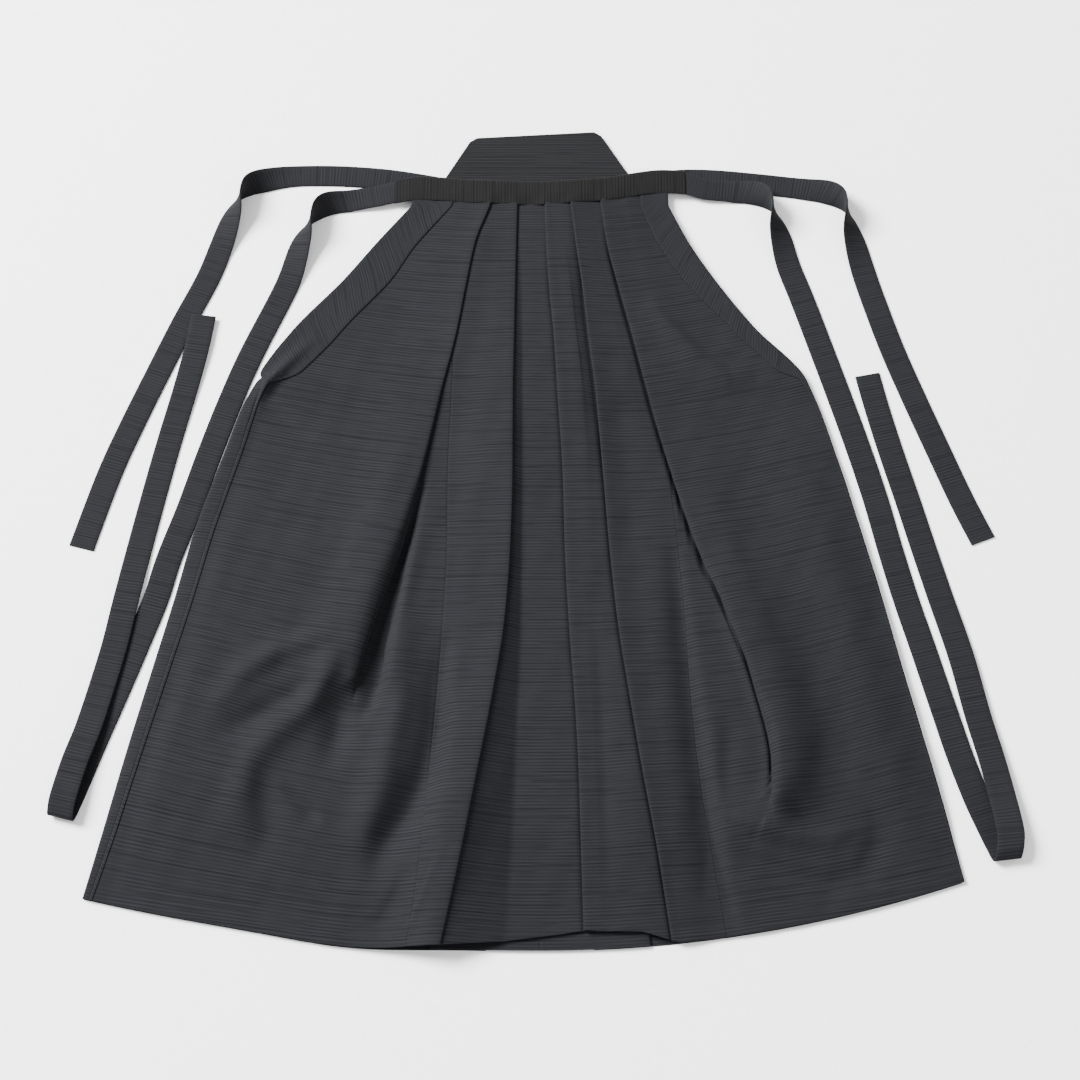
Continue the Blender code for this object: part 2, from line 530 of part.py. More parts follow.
# ---------------------------------------------------------------- sections of the back
def section_back(leg, side):
    """Half of the back from its middle seam: the middle strip, its pleat and the outer strip."""
    s = Station(leg)
    step = LEVEL_WAIST
    half = step / 2
    ground = WALL / 2
    pleat, hidden = s.back_pleat, s.back_in
    edge = follow(BACK, "side_left" if side < 0 else "side_right", leg)
    flat = [(x, 2.0) for x in (SEAM_GAP / 2, mix(0.0, pleat, 0.6), pleat, hidden - half)]
    flat += [(hidden, 1.5)] + [(x, 1.0) for x in (hidden - half, mix(pleat, hidden, 0.5), pleat + half)]
    flat += [(pleat, 0.5), (pleat + half, 0.0), (hidden, 0.0), (hidden + 0.030, 0.0)]
    flat += [(x, 0.0) for x in spread(mix(hidden + 0.03, abs(edge), 0.4), abs(edge) - 0.008, 3)]
    points = [Vector((side * x, plan_y(side * x, leg), ground + level * step)) for x, level in flat]
    if side > 0:
        points.append(Vector((edge, plan_y(edge, leg), ground)))
        return points
    top = mix(ground + LEVEL_WAIST, s.floor_of_front(edge) + s.soft(edge), ease(leg, 0.280, 0.305))
    radius = (top - ground) / 2
    for turn in (0, 45, 90, 135, 180):
        angle = math.radians(turn)
        x = edge + radius - radius * math.sin(angle)
        points.append(Vector((x, plan_y(x, leg), ground + radius - radius * math.cos(angle))))
    x = edge + max(s.rolled, radius + 0.001)
    points.append(Vector((x, plan_y(x, leg), top + s.soft(x) - s.soft(edge))))
    return points


# ---------------------------------------------------------------- front band
PANEL_TOP_LEG = FRONT_STATIONS[0]


def section_band(x):
    """The band folded over the pleats' upper ends: front wall, upper fold, inner wall."""
    tallest = 0.0
    for s in (Station(PANEL_TOP_LEG), Station(0.0), Station(0.02)):
        for q in spread(x - 0.022, x + 0.022, 9):
            turned = 1.0 if q < s.side_left + 0.052 or q > s.side_right - 0.040 else 0.0
            tallest = max(tallest, s.point(q, s.top_level(q) + turned).z)
    over_pleats = tallest + WALL / 2 + BAND_WALL / 2 + SEAM_GAP
    front = mix(over_pleats, BAND_INSIDE + BAND_END_THICK, ease(abs(x), BAND_REACH - 0.020, BAND_REACH - 0.004))
    low = follow(BAND_EDGE, "y", x)
    high = low + BAND_TOP
    bend = (front - BAND_INSIDE) / 2
    rows = [(low, front), (mix(low, high, 0.4), front), (high - bend, front)]
    rows += [(high - bend + bend * math.cos(math.radians(a)), BAND_INSIDE + bend + bend * math.sin(math.radians(a)))
             for a in (45, 0, -45)]
    rows += [(high - bend, BAND_INSIDE), (mix(low, high, 0.4), BAND_INSIDE), (low + 0.002, BAND_INSIDE)]
    return [Vector((x, y, z)) for y, z in rows]


# ---------------------------------------------------------------- making objects
for scene_object in list(bpy.data.objects):
    bpy.data.objects.remove(scene_object)

collection = bpy.data.collections.new("hakama_trousers")
bpy.context.scene.collection.children.link(collection)
garment = bpy.data.objects.new("garment_origin", None)
collection.objects.link(garment)


def finish(name, colour, roughness):
    """One material: dark, slightly lustrous cloth."""
    material = bpy.data.materials.new(name)
    material.use_nodes = True
    shader = material.node_tree.nodes["Principled BSDF"]
    shader.inputs["Base Color"].default_value = colour
    shader.inputs["Roughness"].default_value = roughness
    shader.inputs["Metallic"].default_value = 0.0
    material.diffuse_color = colour
    return material


def add_object(name, data, material):
    """A named piece of the garment, with its own material, under the garment's empty."""
    piece = bpy.data.objects.new(name, data)
    data.materials.append(material)
    collection.objects.link(piece)
    piece.parent = garment
    return piece


def cloth(name, rows, thick, material):
    """A sheet through rows of points, given its thickness on both sides of those points."""
    across = len(rows[0])
    points = [point for row in rows for point in row]
    faces = []
    for i in range(len(rows) - 1):
        for j in range(across - 1):
            corner = i * across + j
            faces.append((corner, corner + 1, corner + across + 1, corner + across))
    mesh = bpy.data.meshes.new(name)
    mesh.from_pydata(points, [], faces)
    mesh.shade_smooth()
    mesh.set_sharp_from_angle(angle=math.radians(40.0))
    piece = add_object(name, mesh, material)
    wall = piece.modifiers.new("wall", "SOLIDIFY")
    wall.thickness = thick
    wall.offset = 0.0
    wall.use_even_offset = True
    return piece


def board(name, outline, thick, height, material):
    """A flat piece cut to an outline, with slightly rounded edges."""
    curve = bpy.data.curves.new(name, "CURVE")
    curve.dimensions = "2D"
    curve.fill_mode = "BOTH"
    curve.extrude = thick / 2 - 0.0008
    curve.bevel_depth = 0.0008
    curve.bevel_resolution = 1
    curve.offset = -0.0008
    line = curve.splines.new("POLY")
    line.points.add(len(outline) - 1)
    for point, (x, y) in zip(line.points, outline):
        point.co = (x, y, 0.0, 1.0)
    line.use_cyclic_u = True
    piece = add_object(name, curve, material)
    piece.location.z = height + thick / 2
    return piece


def width_direction(rows, i):
    """Which way a tie's width lies at one of its rows, from the rows a little before and after."""
    def far(k):
        return math.hypot(rows[k].x - rows[i].x, rows[k].y - rows[i].y) > TIE_REACH

    first = last = i
    while first > 0 and rows[first - 1].turned == rows[i].turned and not far(first):
        first -= 1
    while last < len(rows) - 1 and rows[last + 1].turned == rows[i].turned and not far(last):
        last += 1
    along = Vector((rows[last].x - rows[first].x, rows[last].y - rows[first].y, 0.0)).normalized()
    across = along.cross(Vector((0.0, 0.0, 1.0)))
    return -across if rows[i].turned else across


def smooth_way(rows, steps):
    """Points of a tie between its rows, on a curve through them: place, roll and width direction."""
    count = len(rows)
    side = [width_direction(rows, i) for i in range(count)]
    turned = [i for i in range(count) if rows[i].turned]
    if turned:
        turn = rows[turned[0]]
        fold = (side[turned[0] - 1] + side[turned[0]]).normalized()
        for i, row in enumerate(rows):
            away = math.hypot(row.x - turn.x, row.y - turn.y)
            side[i] = fold.lerp(side[i], ramp(away, TIE_FOLD, TIE_UNTWISTS)).normalized()
    values = [Vector((r.x, r.y, r.height)).to_tuple() + (r.roll,) + side[i].to_tuple() for i, r in enumerate(rows)]
    result = []
    for i in range(count - 1):
        before, start, end, after = (values[max(i - 1, 0)], values[i], values[i + 1], values[min(i + 2, count - 1)])
        for k in range(steps):
            t = k / steps
            result.append([
                0.5 * (2 * p1 + (p2 - p0) * t + (2 * p0 - 5 * p1 + 4 * p2 - p3) * t * t
                       + (3 * p1 - p0 - 3 * p2 + p3) * t ** 3)
                for p0, p1, p2, p3 in zip(before, start, end, after)])
    result.append(list(values[-1]))
    return result


def tie(name, rows, material, root=None):
    """A flat tie along its way: rolled about its middle line, and never below the floor.

    Its root may be given as two points, where it is sewn along a slanting edge.
    """
    way = smooth_way(rows, TIE_STEPS)
    sheet = []
    for values in way:
        place = Vector(values[:3])
        roll = math.radians(values[3])
        side = Vector(values[4:7]).normalized()
        across = side * math.cos(roll) + Vector((0.0, 0.0, 1.0)) * math.sin(roll)
        lowest = TIE_WIDTH / 2 * abs(math.sin(roll)) + TIE_THICK / 2 * abs(math.cos(roll))
        place.z = max(place.z, lowest + FLOOR_GAP)
        sheet.append([place + across * reach for reach in (-TIE_WIDTH / 2, TIE_WIDTH / 2)])
    if root:
        sheet[0] = sorted(root, key=lambda point: (point - sheet[0][0]).length)
    return cloth(name, sheet, TIE_THICK, material)


def band_end(side):
    """The two ends of a front tie's root, sewn just past the band's end."""
    x = side * (BAND_REACH + SEAM_GAP)
    low = follow(BAND_EDGE, "y", x) + (BAND_TOP - TIE_WIDTH) / 2
    return [Vector((x, low + reach, BAND_INSIDE + BAND_END_THICK / 2)) for reach in (0.0, TIE_WIDTH)]


def board_side(base, top):
    """The two ends of a tie's root, sewn just outside the board's slanting side."""
    along = Vector((top[0] - base[0], top[1] - base[1], 0.0)).normalized()
    out = along.cross(Vector((0.0, 0.0, 1.0)))
    if out.x * base[0] < 0.0:
        out = -out
    start = Vector((base[0], base[1], BOARD_THICK / 2)) + out * SEAM_GAP
    return [start + along * reach for reach in (0.001, 0.001 + TIE_WIDTH)]


# ---------------------------------------------------------------- the garment
panel_cloth = finish("panel_cloth", CLOTH_COLOUR, 0.78)
back_cloth = finish("back_cloth", CLOTH_COLOUR, 0.80)
band_cloth = finish("band_cloth", BAND_COLOUR, 0.76)
tie_cloth = finish("tie_cloth", TIE_COLOUR, 0.76)
board_cloth = finish("board_cloth", BOARD_COLOUR, 0.74)

FRONT_PANELS = {
    "front_outer_left": section_outer_left,
    "front_inner_left": section_inner_left,
    "front_inner_right": section_inner_right,
    "front_outer_right": section_outer_right,
}
for panel_name, section in FRONT_PANELS.items():
    cloth(panel_name, [section(leg) for leg in FRONT_STATIONS], WALL, panel_cloth.copy())

for panel_name, which_side, stations in (("back_left", -1, BACK_STATIONS_LEFT), ("back_right", 1, BACK_STATIONS_RIGHT)):
    cloth(panel_name, [section_back(leg, which_side) for leg in stations], WALL, back_cloth.copy())

cloth("front_band", [section_band(x) for x in spread(-BAND_REACH, BAND_REACH, BAND_STEPS + 1)], BAND_WALL, band_cloth)

board("back_board", BOARD_OUTLINE, BOARD_THICK, 0.0, board_cloth)

tie("front_tie_left", FRONT_TIE_LEFT, tie_cloth.copy(), band_end(-1))
tie("front_tie_right", FRONT_TIE_RIGHT, tie_cloth.copy(), band_end(1))
tie("back_tie_left", BACK_TIE_LEFT, tie_cloth.copy(), board_side(BOARD_OUTLINE[0], BOARD_OUTLINE[5]))
tie("back_tie_right", BACK_TIE_RIGHT, tie_cloth.copy(), board_side(BOARD_OUTLINE[1], BOARD_OUTLINE[2]))

# ---------------------------------------------------------------- origin under the middle of the box
bpy.context.view_layer.update()
graph = bpy.context.evaluated_depsgraph_get()
corners = []
for piece in collection.objects:
    if piece.type == "EMPTY":
        continue
    solid = piece.evaluated_get(graph)
    mesh = solid.to_mesh()
    corners += [solid.matrix_world @ vertex.co for vertex in mesh.vertices]
    solid.to_mesh_clear()
low = [min(corner[axis] for corner in corners) for axis in range(3)]
high = [max(corner[axis] for corner in corners) for axis in range(3)]
garment.location = (-(low[0] + high[0]) / 2, -(low[1] + high[1]) / 2, -low[2])
print("box", [round(high[axis] - low[axis], 4) for axis in range(3)], "origin moved by", tuple(garment.location))
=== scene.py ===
# %% [markdown]
# # Hakama trousers, laid flat
#
# Hakama are wide pleated trousers. Each leg is made from a few straight lengths of narrow cloth,
# pressed into deep pleats that are held at the top by a folded band. A stiff board sits at the back
# of the waist, and two pairs of long ties close the garment. Here it lies front up.
#
# The lesson builds it piece by piece as thin shells of cloth around a ready frame of plain solids.
# A shell is a grid of points: one direction runs down the leg, the other across every fold.

# %% Load the frame of plain solids
import bpy
import math
from collections import namedtuple

import numpy as np
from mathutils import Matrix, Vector


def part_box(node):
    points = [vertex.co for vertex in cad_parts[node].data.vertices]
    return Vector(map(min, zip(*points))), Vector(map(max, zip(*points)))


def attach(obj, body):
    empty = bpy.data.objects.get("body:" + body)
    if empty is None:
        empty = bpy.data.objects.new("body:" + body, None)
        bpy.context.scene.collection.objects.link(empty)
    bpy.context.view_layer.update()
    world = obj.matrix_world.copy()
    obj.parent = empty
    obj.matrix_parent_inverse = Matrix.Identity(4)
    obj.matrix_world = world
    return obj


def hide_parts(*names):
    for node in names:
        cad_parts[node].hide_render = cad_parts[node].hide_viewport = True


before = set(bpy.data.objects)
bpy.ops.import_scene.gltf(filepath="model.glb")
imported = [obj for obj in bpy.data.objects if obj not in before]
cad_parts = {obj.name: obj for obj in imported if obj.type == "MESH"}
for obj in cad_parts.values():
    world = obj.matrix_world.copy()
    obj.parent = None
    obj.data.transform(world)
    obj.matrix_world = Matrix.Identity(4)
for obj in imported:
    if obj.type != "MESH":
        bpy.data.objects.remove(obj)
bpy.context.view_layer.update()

print("solids:", sorted(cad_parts))

# %% [markdown]
# ## Where things are
#
# The pieces are drawn in the garment's own plan, whose origin is the middle of the front band's
# lower edge: x runs to the right, y towards the waist and z up. The frame's origin is somewhere
# else, under the middle of its box. The back board has a simple outline, so its box tells how far
# apart the two origins are. Every piece is built in plan coordinates and moved once at the end.

# %% The garment's own origin
BOARD_BASE_Y = 0.015
BOARD_MIDDLE_X = -0.002
board_low, board_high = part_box("back_board")
ORIGIN = Vector(((board_low[0] + board_high[0]) / 2 - BOARD_MIDDLE_X, board_low[1] - BOARD_BASE_Y, 0.0))
print("plan origin in the frame:", tuple(round(value, 4) for value in ORIGIN))

# %% [markdown]
# ## Camera
#
# The garment is seen from above its hem, leaning back 25 degrees from straight down, from 2.7 m.
# A long lens keeps the far waist nearly as large as the near hem. The camera is made first, so
# that every later step can be looked at through it.

# %% Camera
CAMERA_DISTANCE = 2.7
CAMERA_LEAN = math.radians(25.0)
VIEW_MIDDLE_Y = -0.451
LENS_MM = 77.85

look_at = ORIGIN + Vector((0.0, VIEW_MIDDLE_Y, 0.0))
camera = bpy.data.objects.new("camera", bpy.data.cameras.new("camera"))
bpy.context.scene.collection.objects.link(camera)
away = Vector((0.0, -math.sin(CAMERA_LEAN), math.cos(CAMERA_LEAN)))
camera.location = look_at + away * CAMERA_DISTANCE
camera.rotation_euler = away.to_track_quat("Z", "Y").to_euler()
camera.data.lens = LENS_MM
camera.data.sensor_width = 36.0
bpy.context.scene.camera = camera
print("camera at", tuple(round(value, 3) for value in camera.location))

# %% [markdown]
# ## The cut, as short tables
#
# A pleat is a straight fold pressed down the whole leg. On the front there are five of them: A and
# C face the right, D, E and F face the left, and two seams, B and G, lie between. Each line of the
# table gives where these run at one share of the way from the band (0) to the hem (1). The values
# between are read from a smooth curve that never overshoots, so that two pleats cannot cross.

# %% Plan of the front and the back
LEG_LENGTH = 0.936
HEM_BOW_LEFT = 0.235
HEM_BOW_RIGHT = 0.36
HEM_HALF_WIDTH = 0.4585

Plan = namedtuple("Plan", "leg side_left pleat_a seam_b pleat_c pleat_d pleat_e pleat_f seam_g side_right")
PLAN = (
    Plan(0.00, -0.158, -0.061, -0.080, -0.028, 0.006, 0.038, 0.075, 0.096, 0.158),
    Plan(0.06, -0.199, -0.079, -0.090, -0.029, 0.008, 0.044, 0.082, 0.104, 0.181),
    Plan(0.12, -0.238, -0.089, -0.098, -0.030, 0.011, 0.051, 0.094, 0.116, 0.211),
    Plan(0.20, -0.296, -0.101, -0.103, -0.031, 0.017, 0.058, 0.111, 0.129, 0.258),
    Plan(0.28, -0.3395, -0.117, -0.105, -0.032, 0.021, 0.066, 0.127, 0.139, 0.3155),
    Plan(0.40, -0.3735, -0.139, -0.108, -0.032, 0.027, 0.074, 0.153, 0.150, 0.347),
    Plan(0.50, -0.3985, -0.159, -0.107, -0.034, 0.029, 0.080, 0.178, 0.158, 0.3675),
    Plan(0.60, -0.4165, -0.187, -0.110, -0.040, 0.033, 0.088, 0.211, 0.164, 0.387),
    Plan(0.70, -0.436, -0.207, -0.116, -0.053, 0.039, 0.100, 0.238, 0.168, 0.4045),
    Plan(0.80, -0.4555, -0.212, -0.123, -0.069, 0.043, 0.113, 0.254, 0.175, 0.423),
    Plan(0.90, -0.474, -0.215, -0.130, -0.086, 0.045, 0.128, 0.250, 0.187, 0.4415),
    Plan(1.00, -0.493, -0.225, -0.142, -0.106, 0.047, 0.141, 0.246, 0.200, 0.4585),
)

Turn = namedtuple("Turn", "leg left right")
TURNED = (
    Turn(0.000, 0.050, 0.034),
    Turn(0.060, 0.049, 0.037),
    Turn(0.120, 0.055, 0.036),
    Turn(0.200, 0.056, 0.026),
    Turn(0.262, 0.046, 0.026),
    Turn(0.285, 0.008, 0.006),
    Turn(0.320, 0.0030, 0.0030),
    Turn(1.000, 0.0030, 0.0030),
)

Back = namedtuple("Back", "leg pleat depth side_left side_right rolled")
BACK = (
    Back(0.00, 0.012, 0.030, -0.132, 0.128, 0.003),
    Back(0.12, 0.016, 0.033, -0.222, 0.205, 0.003),
    Back(0.262, 0.022, 0.038, -0.325, 0.299, 0.003),
    Back(0.28, 0.023, 0.039, -0.3395, 0.3135, 0.009),
    Back(0.40, 0.028, 0.042, -0.3735, 0.345, 0.017),
    Back(0.50, 0.033, 0.045, -0.3985, 0.3655, 0.019),
    Back(0.60, 0.038, 0.048, -0.4165, 0.385, 0.018),
    Back(0.70, 0.043, 0.051, -0.436, 0.4025, 0.0165),
    Back(0.80, 0.048, 0.054, -0.4555, 0.421, 0.0145),
    Back(0.90, 0.053, 0.057, -0.474, 0.4395, 0.0115),
    Back(1.00, 0.058, 0.060, -0.493, 0.4565, 0.007),
)
print(len(PLAN), "lines of the front's plan,", len(BACK), "of the back's")

# %% [markdown]
# Four small helpers do all the blending. They take whole arrays, so one call places a thousand
# points. `follow` reads a column of a table with a cubic curve whose slopes are chosen so that it
# keeps between neighbouring values, which is called a monotone curve.

# %% Blending helpers
def mix(a, b, share):
    return a + (b - a) * share


def ramp(value, low, high):
    return np.clip((value - low) / (high - low), 0.0, 1.0)


def ease(value, low, high):
    t = ramp(value, low, high)
    return t * t * (3.0 - 2.0 * t)


def follow(table, column, at):
    keys = np.array([row[0] for row in table])
    values = np.array([getattr(row, column) for row in table])
    slopes = np.diff(values) / np.diff(keys)
    tangents = np.concatenate(([slopes[0]], np.zeros(len(slopes) - 1), [slopes[-1]]))
    for i, (before, after) in enumerate(zip(slopes, slopes[1:])):
        if before * after > 0.0:
            tangents[i + 1] = 2.0 * before * after / (before + after)
    at = np.clip(at, keys[0], keys[-1])
    i = np.clip(np.searchsorted(keys, at, side="right") - 1, 0, len(slopes) - 1)
    span = keys[i + 1] - keys[i]
    t = (at - keys[i]) / span
    return ((1 + 2 * t) * (1 - t) ** 2 * values[i] + t * (1 - t) ** 2 * span * tangents[i]
            + t * t * (3 - 2 * t) * values[i + 1] - t * t * (1 - t) * span * tangents[i + 1])


print("pleat A half way down:", round(float(follow(PLAN, "pleat_a", 0.5)), 3))

# %% [markdown]
# ## Heights
#
# Pressed cloth piles up in levels. At the waist a level is thin, because the band holds it down;
# towards the hem the layers loosen. The front lies on the back, which has a pleat of its own in
# the middle, so the front's lowest layer rises there.
#
# On top of that come the soft folds, which laying the garment out has left. Each is a short line
# on the plan, drawn downward or from right to left. Every point has a half width on its left or
# upper side, one on its right or lower side, and a height, below zero where the cloth sinks. One
# side is often steeper than the other. They are placed one by one and no two are alike, because even
# folds look like a machine part. One form is straight instead: beside pleat C the cloth slopes down
# evenly and ends in a crease, so it has a table of its own, where `low` is the slope's end.

# %% Levels and soft folds
CLOTH = 0.0008
SEAM_GAP = 0.00012
LEVEL_WAIST = 0.0015
LEVEL_HEM = 0.0016
GROUND = 0.0005
BAND_INSIDE = 0.0061
BILLOW = 0.0070

